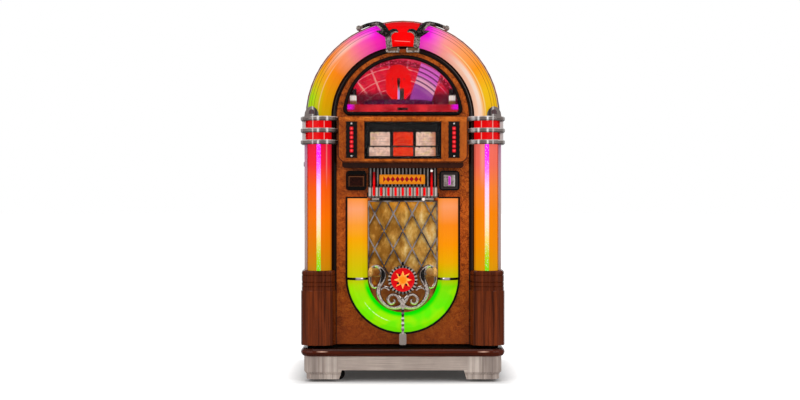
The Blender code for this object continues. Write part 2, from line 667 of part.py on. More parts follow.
def gripper_arm():
    """The chrome arm that swings out over the carousel on its cross pin."""
    pivot = (PLAYER_X, ARM_Y, ARM_PIVOT_Z)
    top_z = ARM_PIVOT_Z + ARM_LENGTH
    bar_z = (ARM_PIVOT_Z - ARM_TAIL, top_z)
    bar = box(around(PLAYER_X, ARM_HALF_WIDTH), around(ARM_Y, ARM_HALF_WIDTH), bar_z)
    arm = make("gripper_arm", bar, ((0.8, 0.8, 0.82), 0.15, 1), pivot)
    join(arm, rod(ARM_KNOB_RADIUS, (top_z - EMBED, top_z + ARM_KNOB_LENGTH), (PLAYER_X, ARM_Y, 0), "Z"))
    pin_half = ARM_HALF_WIDTH + RUNNING_GAP + LUG_THICKNESS
    join(arm, rod(ARM_PIN_RADIUS, around(0, pin_half), pivot, "X"))


def disc_carousel():
    """The ring of disc slots that turns round the player."""
    low_z = SHELF_TOP_Z + CAROUSEL_LIFT
    edges = []
    inner = []
    pitch = 360 / CAROUSEL_SLOTS
    for slot in range(CAROUSEL_SLOTS):
        start = slot * pitch
        half = pitch * CAROUSEL_SLOT_SHARE / 2
        low_radius = CAROUSEL_RADIUS - CAROUSEL_SLOT_DEPTH
        for radius, angle in ((low_radius, start - half), (low_radius, start + half),
                              (CAROUSEL_RADIUS, start + half), (CAROUSEL_RADIUS, start + pitch - half)):
            turn = math.radians(angle)
            edges.append((radius * math.cos(turn), radius * math.sin(turn)))
            inner.append((CAROUSEL_BORE * math.cos(turn), CAROUSEL_BORE * math.sin(turn)))
    rings = []
    for outline, z in ((edges, low_z), (edges, low_z + CAROUSEL_HEIGHT),
                       (inner, low_z + CAROUSEL_HEIGHT), (inner, low_z)):
        rings.append([(PLAYER_X + x, PLAYER_Y + y, z) for x, y in outline])
    make("disc_carousel", loft(rings, closed=True), ((0.06, 0.01, 0.05), 0.4, 0), (PLAYER_X, PLAYER_Y, low_z))


# Front door: its openings, the trim that is part of it, its hinge and its lock
TITLE_BOX_HEIGHT = 0.193
TITLE_BOX_DROP = 0.001
TRIM_ROOM = 0.149
U_CENTRE_DROP = 0.029
SPEAKER_OPENING_MARGIN = 0.008
WINDOW_RAISE = 0.011
WINDOW_CORNER = 0.012
WINDOW_FRAME_WIDTH = 0.015
WINDOW_FRAME_DEPTH = 0.014
WINDOW_GLASS_LAP = 0.0055
WINDOW_GLASS_THICKNESS = 0.004
WINDOW_CORNER_ANGLE = 3
TRIM_RING_BULGE = 0.008
BEAD_STEPS = 4
EDGE_STRIP_GAP = 0.0005
EDGE_STRIP_WIDTH = 0.0115
EDGE_STRIP_DEPTH = 0.025
EDGE_STRIP_RISE = 0.012
COIN_HALF_WIDTH = 0.043
COIN_HALF_HEIGHT = 0.041
COIN_CORNER = 0.0125
COIN_CUP_HALF_WIDTH = 0.038
COIN_CUP_HALF_HEIGHT = 0.028
HINGE_BARREL_RADIUS = 0.0054
HINGE_PIN_RADIUS = 0.0025
HINGE_BORE_RADIUS = 0.0031
HINGE_LEAF_THICKNESS = 0.0015
HINGE_LEAF_WIDTH = 0.030
HINGE_KNUCKLES = 5
HINGE_ABOVE_PILASTER = 0.030
HINGE_BELOW_SPRING = 0.080
LOCK_BELOW_COLUMN_TOP = 0.081
LOCK_RADIUS = 0.0095
LOCK_PROUD = 0.012
LOCK_TAIL = 0.007
LOCK_CAM_THICKNESS = 0.0035
LOCK_CAM_LENGTH = 0.062
LOCK_CAM_HALF_WIDTH = 0.007
LOCK_SLOT_HALF_WIDTH = 0.0012
LOCK_SLOT_HALF_HEIGHT = 0.0045
LOCK_SLOT_DEPTH = 0.005

EDGE_STRIP_X = BODY_HALF_WIDTH - COLUMN_EDGE + EDGE_STRIP_GAP
HINGE_Y = DOOR_BACK_Y + DOOR_SEAL / 2
DOOR_INSIDE_Y = DOOR_FACE_Y + DOOR_FACE_THICKNESS
TITLE_BOX_TOP_Z = COLLAR_TOP_Z - TITLE_BOX_DROP
TITLE_BOX_BOTTOM_Z = TITLE_BOX_TOP_Z - TITLE_BOX_HEIGHT
U_CENTRE_Z = PILASTER_TOP_Z - U_CENTRE_DROP
U_TOP_Z = TITLE_BOX_BOTTOM_Z - TRIM_ROOM
COIN_Z = (TITLE_BOX_BOTTOM_Z + U_TOP_Z) / 2
WINDOW_CENTRE_Z = ARCH_SPRING_Z + WINDOW_RAISE
LOCK_Y = (DOOR_INSIDE_Y + DOOR_BACK_Y) / 2
LOCK_Z = COLUMN_TOP_Z - LOCK_BELOW_COLUMN_TOP


def door_hinge_axis():
    """The empty that carries everything on the door, standing on the hinge axis."""
    pivot = bpy.data.objects.new("door_pivot", None)
    pivot.location = (HINGE_X, HINGE_Y, DOOR_BOTTOM_Z)
    bpy.context.scene.collection.objects.link(pivot)
    return pivot


def window_stations():
    """Places along the inner edge of the window: a half disc with round lower corners."""
    corner_z = SILL_Z + WINDOW_CORNER
    rise = math.degrees(math.asin((corner_z - WINDOW_CENTRE_Z) / WINDOW_RADIUS)) + WINDOW_CORNER_ANGLE
    corner_x = WINDOW_RADIUS - WINDOW_CORNER
    stations = arc_stations((corner_x, corner_z), WINDOW_CORNER, -90, 0, CORNER_STEPS)
    stations += arc_stations((0, WINDOW_CENTRE_Z), WINDOW_RADIUS, rise, 180 - rise, ARCH_STEPS)
    stations += arc_stations((-corner_x, corner_z), WINDOW_CORNER, 180, 270, CORNER_STEPS)
    return stations


def window_outline(away):
    """The outline of the window, moved outward by a distance."""
    return [(x + away * out_x, z + away * out_z) for (x, z), (out_x, out_z) in window_stations()]


def u_stations(half_width, top_z, steps=ARCH_STEPS):
    """Places down one leg, round the bottom and up the other leg of the illuminated U."""
    stations = [((-half_width, top_z), (-1, 0))]
    stations += arc_stations((0, U_CENTRE_Z), half_width, 180, 360, steps)
    stations.append(((half_width, top_z), (1, 0)))
    return stations


def arch_stations(half_width, bottom_z, steps=ARCH_STEPS):
    """Places up the right leg, over the arch and down the left leg."""
    stations = [((half_width, bottom_z), (1, 0))]
    stations += arc_stations((0, ARCH_SPRING_Z), half_width, 0, 180, steps)
    stations.append(((-half_width, bottom_z), (-1, 0)))
    return stations


def front_door(pivot):
    """The arched front panel with its rim, openings, dark trim ring and edge strips."""
    outline = arch_outline(BODY_HALF_WIDTH, ARCH_SPRING_Z, DOOR_BOTTOM_Z)
    door = make("front_door", front_prism(outline, DOOR_FACE_Y, DOOR_BACK_Y), ((0.38, 0.12, 0.03), 0.25, 0),
                parent=pivot)
    inside = arch_outline(SHELL_INNER_HALF, ARCH_SPRING_Z, DOOR_BOTTOM_Z + SHELL_WALL)
    cut(door, front_prism(inside, DOOR_INSIDE_Y, DOOR_BACK_Y + OVERRUN), pivot)
    through = (DOOR_FACE_Y - OVERRUN, DOOR_INSIDE_Y + OVERRUN)
    window = window_outline(WINDOW_GLASS_LAP + SEAT_GAP)
    speaker = [place for place, outward in u_stations(U_INNER_HALF - SPEAKER_OPENING_MARGIN,
                                                      U_TOP_Z - SPEAKER_OPENING_MARGIN, ARCH_STEPS // 2)]
    cup = around(0, COIN_CUP_HALF_HEIGHT + SEAT_GAP)
    cup_z = (COIN_Z + cup[0], COIN_Z + cup[1])
    cups = [box(around(side * COIN_X, COIN_CUP_HALF_WIDTH + SEAT_GAP), through, cup_z) for side in (-1, 1)]
    cut(door, merged(front_prism(window, *through), front_prism(speaker, *through), *cups), pivot)
    bead = half_round(0, TRIM_RING_WIDTH, DOOR_FACE_Y + EMBED, TRIM_RING_BULGE + EMBED, BEAD_STEPS)
    join(door, sweep(arch_stations(TRIM_RING_RADIUS, PILASTER_TOP_Z + SEAT_GAP), bead), pivot)
    strip_y = (DOOR_FACE_Y - EDGE_STRIP_RISE, DOOR_FACE_Y + EDGE_STRIP_DEPTH)
    strip_z = (PILASTER_TOP_Z + SEAT_GAP, COLUMN_TOP_Z - SEAT_GAP)
    strip_x = (EDGE_STRIP_X, EDGE_STRIP_X + EDGE_STRIP_WIDTH)
    other_x = (-strip_x[1], -strip_x[0])
    join(door, merged(box(strip_x, strip_y, strip_z), box(other_x, strip_y, strip_z)), pivot)
    leaves = []
    barrels = []
    for low_z, high_z in hinge_spans(1):
        leaves.append(box((BODY_HALF_WIDTH - EMBED, BODY_HALF_WIDTH + SEAT_GAP + HINGE_LEAF_THICKNESS),
                          (DOOR_BACK_Y - HINGE_LEAF_WIDTH, HINGE_Y), (low_z, high_z)))
        barrels.append(rod(HINGE_BARREL_RADIUS, (low_z, high_z), (HINGE_X, HINGE_Y, 0), "Z"))
    join(door, merged(*leaves), pivot)
    join(door, merged(*barrels), pivot)
    hinge_z = (DOOR_BOTTOM_Z, ARCH_SPRING_Z)
    cut(door, rod(HINGE_BORE_RADIUS, hinge_z, (HINGE_X, HINGE_Y, 0), "Z"), pivot)
    lock_x = (-BODY_HALF_WIDTH - OVERRUN, -SHELL_INNER_HALF + OVERRUN)
    cut(door, rod(LOCK_RADIUS + RUNNING_GAP, lock_x, (0, LOCK_Y, LOCK_Z), "X"), pivot)


def hinge_spans(first):
    """Heights of every other knuckle of the hinge, from the given one up."""
    low_z = PILASTER_TOP_Z + HINGE_ABOVE_PILASTER
    length = (ARCH_SPRING_Z - HINGE_BELOW_SPRING - low_z) / HINGE_KNUCKLES
    spans = []
    for knuckle in range(first, HINGE_KNUCKLES, 2):
        start = low_z + knuckle * length
        spans.append((start + SEAT_GAP, start + length - SEAT_GAP))
    return spans


def door_hinge():
    """The cabinet side of the long hinge: pin, knuckles and leaves."""
    spans = hinge_spans(0)
    pin = rod(HINGE_PIN_RADIUS, (spans[0][0], spans[-1][1]), (HINGE_X, HINGE_Y, 0), "Z")
    hinge = make("door_hinge", pin, ((0.6, 0.5, 0.3), 0.4, 1))
    leaf_x = (BODY_HALF_WIDTH + SEAT_GAP, BODY_HALF_WIDTH + SEAT_GAP + HINGE_LEAF_THICKNESS)
    barrels = [rod(HINGE_BARREL_RADIUS, span, (HINGE_X, HINGE_Y, 0), "Z") for span in spans]
    leaves = [box(leaf_x, (HINGE_Y, HINGE_Y + HINGE_LEAF_WIDTH), span) for span in spans]
    join(hinge, merged(*barrels))
    join(hinge, merged(*leaves))


def side_lock(pivot):
    """The lock cylinder on the left edge of the door, with its cam behind the rim."""
    outer_x = -BODY_HALF_WIDTH - LOCK_PROUD
    inner_x = -SHELL_INNER_HALF + LOCK_TAIL
    plug = rod(LOCK_RADIUS, (outer_x, inner_x), (0, LOCK_Y, LOCK_Z), "X")
    lock = make("side_lock", plug, ((0.7, 0.68, 0.62), 0.25, 1), (-BODY_HALF_WIDTH, LOCK_Y, LOCK_Z), pivot)
    cam_x = (inner_x - LOCK_CAM_THICKNESS, inner_x)
    join(lock, box(cam_x, (LOCK_Y, LOCK_Y + LOCK_CAM_LENGTH), around(LOCK_Z, LOCK_CAM_HALF_WIDTH)), pivot)
    cut(lock, box((outer_x - OVERRUN, outer_x + LOCK_SLOT_DEPTH), around(LOCK_Y, LOCK_SLOT_HALF_WIDTH),
                  around(LOCK_Z, LOCK_SLOT_HALF_HEIGHT)), pivot)


def window_frame(pivot):
    """The black bead frame round the player window."""
    section = [(0, ON_DOOR_Y), (0, ON_DOOR_Y - WINDOW_FRAME_DEPTH / 2)]
    section += arc((WINDOW_FRAME_WIDTH / 2, ON_DOOR_Y - WINDOW_FRAME_DEPTH / 2),
                   (WINDOW_FRAME_WIDTH / 2, WINDOW_FRAME_DEPTH / 2), 180, 360, CORNER_STEPS)[1:]
    section.append((WINDOW_FRAME_WIDTH, ON_DOOR_Y))
    frame = make("window_frame", sweep(window_stations(), section, closed=True), ((0.01, 0.01, 0.01), 0.2, 0),
                 parent=pivot)
    round_shading(frame)


def window_glass(pivot):
    """The pane that sits in the door opening behind the frame."""
    pane = front_prism(window_outline(WINDOW_GLASS_LAP), DOOR_FACE_Y, DOOR_FACE_Y + WINDOW_GLASS_THICKNESS)
    make("window_glass", pane, ((0.9, 0.9, 0.9), 0.02, 0), parent=pivot)


# Illuminated arch with its crown
ARCH_LENS_EDGE = 0.0025
ARCH_LENS_INSET = 0.107
ARCH_LENS_BULGE = 0.050
CROWN_HALF_LENGTH = 0.0543
CROWN_JOINT = 0.0037
CROWN_STEPS = 6
CLAW_CLEARANCE = 0.0008
CLAW_BAND_RADIUS = 0.0112
CLAW_BALL_RADIUS = 0.0125
CLAW_FLAT_SHARE = 0.7
CLAW_SIDES = 8
CLAW_BAND_SHARES = ((10.8, -0.10, 1.25, 0.75), (10.8, 0.08, 1.25, 0.75), (10.4, 0.35, 1.25, 0.75),
                    (11.6, 0.62, 1.35, 0.75), (13.4, 0.86, 1.20, 0.90), (16.2, 1.02, 0.85, 1.0),
                    (20.8, 1.09, 0.70, 1.0))
CLAW_PRONG_SHARES = ((11.2, 0.42, 1.00, 0.75), (13.6, 0.54, 0.90, 0.80), (15.6, 0.63, 0.60, 0.90),
                     (17.2, 0.69, 0.18, 1.0))
CLAW_CURL_SHARES = ((10.2, 0.36, 1.10, 0.75), (8.6, 0.49, 1.05, 0.75), (6.4, 0.555, 0.90, 0.80),
                    (4.4, 0.55, 0.70, 0.90), (3.1, 0.50, 0.30, 1.0))
CLAW_TIP_ANGLE = 26.2
CLAW_TIP_SHARE = 1.10
CLAW_FOOT_X = 0.014
CLAW_FOOT_WIDTH = 0.057
CLAW_FOOT_HEIGHT = 0.0285
CLAW_FOOT_DEPTH = 0.022
CLAW_FOOT_CORNER_SHARE = 0.25
CLAW_BRIDGE_DEPTH = 0.007
CLAW_BRIDGE_HEIGHT = 0.014
CLAW_RECESS_SIDE = 0.008
CLAW_RECESS_EDGE = 0.006
CLAW_RECESS_DEPTH = 0.006

RELIEF_FRONT_Y = DOOR_FACE_Y - TRIM_RING_BULGE - RUNNING_GAP
ARCH_LENS_INNER = BODY_HALF_WIDTH - ARCH_LENS_INSET
ARCH_LENS_WIDTH = ARCH_LENS_INSET - ARCH_LENS_EDGE
CROWN_HALF_DEGREES = math.degrees(CROWN_HALF_LENGTH / ARCH_LENS_INNER)
CROWN_JOINT_DEGREES = math.degrees(CROWN_JOINT / ARCH_LENS_INNER)


def arch_lens(name, side, pivot):
    """One half of the illuminated arch, from its collar up to the crown."""
    start = math.degrees(math.asin((COLLAR_OVER_SPRING + SEAT_GAP) / ARCH_LENS_INNER))
    end = 90 - CROWN_HALF_DEGREES - CROWN_JOINT_DEGREES
    if side < 0:
        start, end = 180 - start, 180 - end
    stations = arc_stations((0, ARCH_SPRING_Z), ARCH_LENS_INNER, start, end, ARCH_STEPS // 2)
    section = half_round(0, ARCH_LENS_WIDTH, ON_DOOR_Y, ARCH_LENS_BULGE)
    round_shading(make(name, sweep(stations, section), ((1.0, 0.3, 0.1), 0.2, 0), parent=pivot))


def crown_lens(pivot):
    """The red keystone between the two halves of the arch."""
    start, end = 90 - CROWN_HALF_DEGREES, 90 + CROWN_HALF_DEGREES
    stations = arc_stations((0, ARCH_SPRING_Z), ARCH_LENS_INNER, start, end, CROWN_STEPS)
    section = half_round(0, ARCH_LENS_WIDTH, ON_DOOR_Y, ARCH_LENS_BULGE)
    round_shading(make("crown_lens", sweep(stations, section), ((0.9, 0.0, 0.0), 0.15, 0), parent=pivot))


def over_lens(angle, share, radius):
    """A point just clear of the lens, at an angle from the crown and a share of the lens width."""
    away = share * ARCH_LENS_WIDTH
    reach = max(ARCH_LENS_WIDTH / 2, ARCH_LENS_BULGE) + radius + CLAW_CLEARANCE
    sideways = away - ARCH_LENS_WIDTH / 2
    depth = math.sqrt(max(reach ** 2 - sideways ** 2, 0))
    y = min(ON_DOOR_Y - depth, RELIEF_FRONT_Y - radius)
    distance = ARCH_LENS_INNER + away
    turn = math.radians(angle)
    return distance * math.sin(turn), y, ARCH_SPRING_Z + distance * math.cos(turn)


def tube(path, sides):
    """A round bar of changing radius along points of (x, y, z, radius) that face the front."""
    rings = []
    for index, (x, y, z, radius) in enumerate(path):
        before = path[max(index - 1, 0)]
        after = path[min(index + 1, len(path) - 1)]
        along = Vector((after[0] - before[0], after[2] - before[2])).normalized()
        ring = []
        for across, forward in disc((0, 0), radius, sides, 180 / sides):
            ring.append((x - across * along.y, y + forward, z + across * along.x))
        rings.append(ring)
    return loft(rings)


def flat_tube(path, sides, flatness):
    """A bar like a round one, but with its depth reduced to a share of its width."""
    bar = tube(path, sides)
    for index, vertex in enumerate(bar.verts):
        middle_y = path[index // sides][1]
        vertex.co.y = middle_y + (vertex.co.y - middle_y) * flatness
    return bar


def smooth(path, parts):
    """Fill a path of tuples with points on a curve through all of them."""
    filled = []
    for index in range(len(path) - 1):
        first = path[max(index - 1, 0)]
        last = path[min(index + 2, len(path) - 1)]
        for part in range(parts):
            t = part / parts
            point = []
            for a, b, c, d in zip(first, path[index], path[index + 1], last):
                point.append(0.5 * (2 * b + (c - a) * t + (2 * a - 5 * b + 4 * c - d) * t ** 2
                                    + (3 * b - a - 3 * c + d) * t ** 3))
            filled.append(tuple(point))
    filled.append(path[-1])
    return filled


def claw_bar(table, side, end=None):
    """One flat bar of a claw from a table of angles, lens shares, width shares and lift shares."""
    path = []
    for angle, share, width_share, lift_share in smooth(table, 2 if end else 1):
        radius = CLAW_BAND_RADIUS * width_share
        path.append((*over_lens(side * angle, share, radius * lift_share), radius))
    if end is not None:
        path.append((*end, radius))
    return flat_tube(path, CLAW_SIDES, CLAW_FLAT_SHARE)


def ball(centre, radius, rings=4, sides=8):
    """A faceted ball, closed by a small flat at each pole."""
    profile = []
    for ring in range(1, rings + 1):
        turn = math.pi * ring / (rings + 1)
        profile.append([(centre[0] + radius * math.sin(turn) * math.cos(step * 2 * math.pi / sides),
                         centre[1] - radius * math.cos(turn),
                         centre[2] + radius * math.sin(turn) * math.sin(step * 2 * math.pi / sides))
                        for step in range(sides)])
    return loft(profile)


def crown_claws(pivot):
    """The chrome casting that grips the crown: two mirrored claws on feet joined by a low bridge."""
    foot_top_z = ARCH_SPRING_Z + ARCH_LENS_INNER - RUNNING_GAP
    foot_low_z = foot_top_z - CLAW_FOOT_HEIGHT
    bridge_z = (foot_low_z, foot_low_z + CLAW_BRIDGE_HEIGHT)
    bridge_y = (RELIEF_FRONT_Y - CLAW_BRIDGE_DEPTH, RELIEF_FRONT_Y)
    bridge = box(around(0, CLAW_FOOT_X + CLAW_FOOT_WIDTH / 2), bridge_y,
                 bridge_z)
    claws = make("crown_claws", bridge, ((0.75, 0.74, 0.72), 0.15, 1), parent=pivot)
    for side in (-1, 1):
        near_x, far_x = CLAW_FOOT_X, CLAW_FOOT_X + CLAW_FOOT_WIDTH
        foot_x = (min(side * near_x, side * far_x), max(side * near_x, side * far_x))
        low = foot_low_z - EMBED
        high = arch_height_at(far_x, ARCH_LENS_INNER) - RUNNING_GAP
        foot = rounded(foot_x, (low, high), CLAW_FOOT_HEIGHT * CLAW_FOOT_CORNER_SHARE)
        join(claws, front_prism(foot, RELIEF_FRONT_Y - CLAW_FOOT_DEPTH, RELIEF_FRONT_Y), pivot)
        tip = over_lens(side * CLAW_TIP_ANGLE, CLAW_TIP_SHARE, CLAW_BALL_RADIUS)
        join(claws, claw_bar(CLAW_BAND_SHARES, side, tip), pivot)
        join(claws, claw_bar(CLAW_PRONG_SHARES, side), pivot)
        join(claws, claw_bar(CLAW_CURL_SHARES, side), pivot)
        join(claws, ball(tip, CLAW_BALL_RADIUS), pivot)
        recess_x = (foot_x[0] + CLAW_RECESS_SIDE, foot_x[1] - CLAW_RECESS_SIDE)
        recess_z = (foot_low_z + CLAW_RECESS_EDGE, foot_top_z - CLAW_RECESS_EDGE)
        foot_front_y = RELIEF_FRONT_Y - CLAW_FOOT_DEPTH
        cut(claws, box(recess_x, (foot_front_y - OVERRUN, foot_front_y + CLAW_RECESS_DEPTH), recess_z), pivot)


def arch_height_at(x, radius):
    """Height of a circle round the arch centre at a distance from the centre plane."""
    return ARCH_SPRING_Z + math.sqrt(radius ** 2 - x ** 2)


# Shoulders of the front: bubble columns, collars and pilasters
COLUMN_BULGE = 0.055
TUBE_RADIUS = 0.0092
TUBE_SINK = 0.002
COLLAR_LAP = 0.0065
COLLAR_BULGE = 0.055
COLLAR_SIDE_DEPTH = 0.055
COLLAR_FRONT_MARGIN = 0.005
COLLAR_NOTCH = 0.006
COLLAR_RING_HEIGHT = 0.019
COLLAR_RING_COUNT = 3
COLLAR_RING_EDGE = 0.004
COLLAR_STEPS = 6
EAR_INSET = 0.0295
EAR_HALF_WIDTH = 0.030
EAR_HEIGHT = 0.040
EAR_HOLE_HALF_WIDTH = 0.013
EAR_HOLE_HEIGHT = 0.020
EAR_HOLE_RISE = 0.008
EAR_THICKNESS = 0.010
EAR_CLEARANCE = 0.001
PILASTER_INNER_INSET = 0.003
PILASTER_OUTER_INSET = 0.001
PILASTER_BULGE = 0.050
PILASTER_FLUTE = 0.007
PILASTER_SIDE_DEPTH = 0.090
PILASTER_LOBE_SHARES = (0, 0.16, 0.474, 0.644, 0.907, 1)
PILASTER_FULLNESS_SHARE = 0.35
PILASTER_CAP_HEIGHT = 0.083
PILASTER_CAP_INSET = 0.0025
PILASTER_GROOVE_DEPTH = 0.005
PILASTER_GROOVE_HEIGHT = 0.004
PILASTER_GROOVE_SHARES = (0.20, 0.42, 0.77)
PILASTER_TOP_EDGE = 0.006

COLLAR_INNER_X = TRIM_RING_RADIUS - COLLAR_LAP
EAR_X = BODY_HALF_WIDTH - EAR_INSET
PILASTER_INNER_X = TRIM_RING_RADIUS + PILASTER_INNER_INSET
PILASTER_OUTER_X = SHOULDER_HALF_WIDTH - PILASTER_OUTER_INSET
COLUMN_X = COLUMN_INNER_X + COLUMN_WIDTH / 2
TUBE_Y = ON_DOOR_Y - COLUMN_BULGE + TUBE_SINK


def column_section(side, margin=0):
    """The half-round plan of a column, grown by a margin."""
    outline = arc((COLUMN_X, ON_DOOR_Y), (COLUMN_WIDTH / 2 + margin, COLUMN_BULGE + margin), 180, 360,
                  COLLAR_STEPS)
    if margin:
        back_y = ON_DOOR_Y + OVERRUN
        outline = [(outline[0][0], back_y)] + outline + [(outline[-1][0], back_y)]
    if side < 0:
        outline = mirrored(outline)
    return outline


def column_lens(name, side, pivot):
    """A half-round light column with the groove of its bubble tube, run up through its collar."""
    shape = plan_prism(column_section(side), PILASTER_TOP_Z + SEAT_GAP, COLLAR_TOP_Z)
    column = make(name, shape, ((1.0, 0.25, 0.05), 0.2, 0), parent=pivot)
    groove_z = (PILASTER_TOP_Z - OVERRUN, COLUMN_TOP_Z)
    groove = rod(TUBE_RADIUS + SEAT_GAP, groove_z, (side * COLUMN_X, TUBE_Y, 0),
                 "Z", BARREL_STEPS, 180 / BARREL_STEPS)
    cut(column, groove, pivot)


def bubble_tube(name, side, pivot):
    """The round bubble tube in front of a column, standing on its pilaster."""
    span = (PILASTER_TOP_Z + SEAT_GAP, COLUMN_TOP_Z - SEAT_GAP)
    shape = rod(TUBE_RADIUS, span, (side * COLUMN_X, TUBE_Y, 0), "Z", BARREL_STEPS, 180 / BARREL_STEPS)
    round_shading(make(name, shape, ((1.0, 0.2, 0.9), 0.1, 0), parent=pivot))


def collar_outline(side, inset):
    """The plan of a collar ring: a full front round the column and a return along the side."""
    inner_x = COLLAR_INNER_X + inset
    outer_x = SHOULDER_HALF_WIDTH - inset
    middle = ((inner_x + outer_x) / 2, RELIEF_FRONT_Y - COLLAR_FRONT_MARGIN)
    outline = [(inner_x, RELIEF_FRONT_Y)]
    outline += arc(middle, ((outer_x - inner_x) / 2, COLLAR_BULGE - inset), 180, 360, COLLAR_STEPS)
    return_x = BODY_HALF_WIDTH + SEAT_GAP
    return_y = RELIEF_FRONT_Y + COLLAR_SIDE_DEPTH
    lens_x = COLUMN_INNER_X + COLLAR_NOTCH
    outline += [(outer_x, return_y), (return_x, return_y), (return_x, ON_DOOR_Y), (lens_x, ON_DOOR_Y),
                (lens_x, RELIEF_FRONT_Y)]
    if side < 0:
        outline = mirrored(outline)
    return outline


def collar(name, side, pivot):
    """Three chrome rings round the top of a column on one side bar, with an ear on the top ring."""
    pitch = (COLLAR_HEIGHT - COLLAR_RING_HEIGHT) / (COLLAR_RING_COUNT - 1)
    rings = []
    for index in range(COLLAR_RING_COUNT):
        low_z = COLUMN_TOP_Z + index * pitch
        high_z = low_z + COLLAR_RING_HEIGHT
        levels = ((low_z, COLLAR_RING_EDGE), (low_z + COLLAR_RING_EDGE, 0), (high_z - COLLAR_RING_EDGE, 0),
                  (high_z, COLLAR_RING_EDGE))
        rings.append(loft([[(x, y, z) for x, y in collar_outline(side, inset)] for z, inset in levels]))
    shape = make(name, merged(*rings), ((0.75, 0.74, 0.72), 0.15, 1), parent=pivot)
    bar_x = (BODY_HALF_WIDTH + RUNNING_GAP, SHOULDER_HALF_WIDTH - COLLAR_RING_EDGE - EMBED)
    bar_y = (ON_DOOR_Y + COLLAR_FRONT_MARGIN, RELIEF_FRONT_Y + COLLAR_SIDE_DEPTH - COLLAR_FRONT_MARGIN)
    bar_z = (COLUMN_TOP_Z + COLLAR_RING_EDGE, COLLAR_TOP_Z - COLLAR_RING_EDGE)
    if side < 0:
        bar_x = (-bar_x[1], -bar_x[0])
    join(shape, box(bar_x, bar_y, bar_z), pivot)
    ear_back = ON_DOOR_Y - ARCH_LENS_BULGE - EAR_CLEARANCE
    low_z = COLLAR_TOP_Z - COLLAR_RING_HEIGHT / 2
    ear = [(EAR_X + EAR_HALF_WIDTH, low_z)]
    ear += arc((EAR_X, COLLAR_TOP_Z), (EAR_HALF_WIDTH, EAR_HEIGHT), 0, 180, LENS_STEPS + 2)
    ear.append((EAR_X - EAR_HALF_WIDTH, low_z))
    hole_middle = (EAR_X, COLLAR_TOP_Z + EAR_HOLE_RISE)
    hole = arc(hole_middle, (EAR_HOLE_HALF_WIDTH, EAR_HOLE_HEIGHT), 0, 180, LENS_STEPS)
    if side < 0:
        ear, hole = mirrored(ear), mirrored(hole)
    join(shape, front_prism(ear, ear_back - EAR_THICKNESS, ear_back), pivot)
    cut(shape, front_prism(hole, ear_back - EAR_THICKNESS - OVERRUN, ear_back + OVERRUN), pivot)
    span = (COLUMN_TOP_Z - OVERRUN, COLLAR_TOP_Z + OVERRUN)
    cut(shape, plan_prism(column_section(side, SEAT_GAP), *span), pivot)


def pilaster_outline(side, inset):
    """The fluted plan of a pilaster, wrapped round the edge of the door."""
    inner_x = PILASTER_INNER_X + inset
    outer_x = PILASTER_OUTER_X - inset
    width = outer_x - inner_x
    crest_y = RELIEF_FRONT_Y + inset
    outline = [(inner_x, ON_DOOR_Y)]
    for low, high in zip(PILASTER_LOBE_SHARES, PILASTER_LOBE_SHARES[1:]):
        for share in (low, (low + high) / 2):
            swell = PILASTER_BULGE * (1 - (2 * share - 1) ** 2) ** PILASTER_FULLNESS_SHARE
            if share != low:
                swell += PILASTER_FLUTE
            outline.append((inner_x + share * width, crest_y - swell))
    return_y = ON_DOOR_Y + PILASTER_SIDE_DEPTH
    return_x = BODY_HALF_WIDTH + SEAT_GAP
    outline += [(outer_x, crest_y), (outer_x, return_y), (return_x, return_y), (return_x, ON_DOOR_Y)]
    if side < 0:
        outline = mirrored(outline)
    return outline


def pilaster(name, side, pivot):
    """A fluted wooden block under a column, with a grooved cap."""
    cap_z = PILASTER_TOP_Z - PILASTER_CAP_HEIGHT
    levels = [(DOOR_BOTTOM_Z, 0), (cap_z - PILASTER_CAP_INSET, 0), (cap_z, PILASTER_CAP_INSET)]
    for share in PILASTER_GROOVE_SHARES:
        groove_z = cap_z + share * PILASTER_CAP_HEIGHT
        half = PILASTER_GROOVE_HEIGHT / 2
        levels += [(groove_z - half, PILASTER_CAP_INSET), (groove_z, PILASTER_GROOVE_DEPTH),
                   (groove_z + half, PILASTER_CAP_INSET)]
    levels += [(PILASTER_TOP_Z - PILASTER_TOP_EDGE, PILASTER_CAP_INSET), (PILASTER_TOP_Z, PILASTER_TOP_EDGE)]
    shape = loft([[(x, y, z) for x, y in pilaster_outline(side, inset)] for z, inset in levels])
    round_shading(make(name, shape, ((0.16, 0.04, 0.01), 0.3, 0), parent=pivot))


# Title box with its glass, turning title page, bezels and twelve selection buttons
BOX_DEPTH = 0.0627
BOX_EDGE = 0.003
BOX_WALL = 0.008
BOX_CORNER = 0.032
BOX_TOP_CORNER = 0.005
BOX_COVE_INSET = 0.017
BOX_COVE_DROP = 0.022
BOX_COVE_SETBACK = 0.018
TITLE_WINDOW_INSET = 0.0555
TITLE_WINDOW_HEIGHT = 0.154
TITLE_WINDOW_DROP = 0.021
TITLE_WINDOW_CORNER = 0.004
TITLE_GLASS_LAP = 0.004
TITLE_GLASS_THICKNESS = 0.003
RACK_THICKNESS = 0.003
PAGE_SIDE_MARGIN = 0.0095
PAGE_LENGTH = 0.041
PAGE_THICKNESS = 0.0024
PAGE_STAND_OFF = 0.003
PAGE_AXIS_DROP = 0.123
PAGE_PIN_RADIUS = 0.0020
PAGE_PIN_BORE = 0.0027
PAGE_LUG_THICKNESS = 0.004
PAGE_LUG_HALF = 0.005
BUTTON_COUNT = 6
BUTTON_PITCH = 0.0184
BUTTON_SIZE = 0.0144
BUTTON_HOLE_GAP = 0.0003
BUTTON_SLOT_GAP = 0.0010
BUTTON_EDGE = 0.001
BUTTON_PROUD = 0.006
BUTTON_TAIL = 0.010
BEZEL_HALF_WIDTH = 0.024
BEZEL_HALF_HEIGHT = 0.0755
BEZEL_THICKNESS = 0.003
BEZEL_WAVE = 0.002
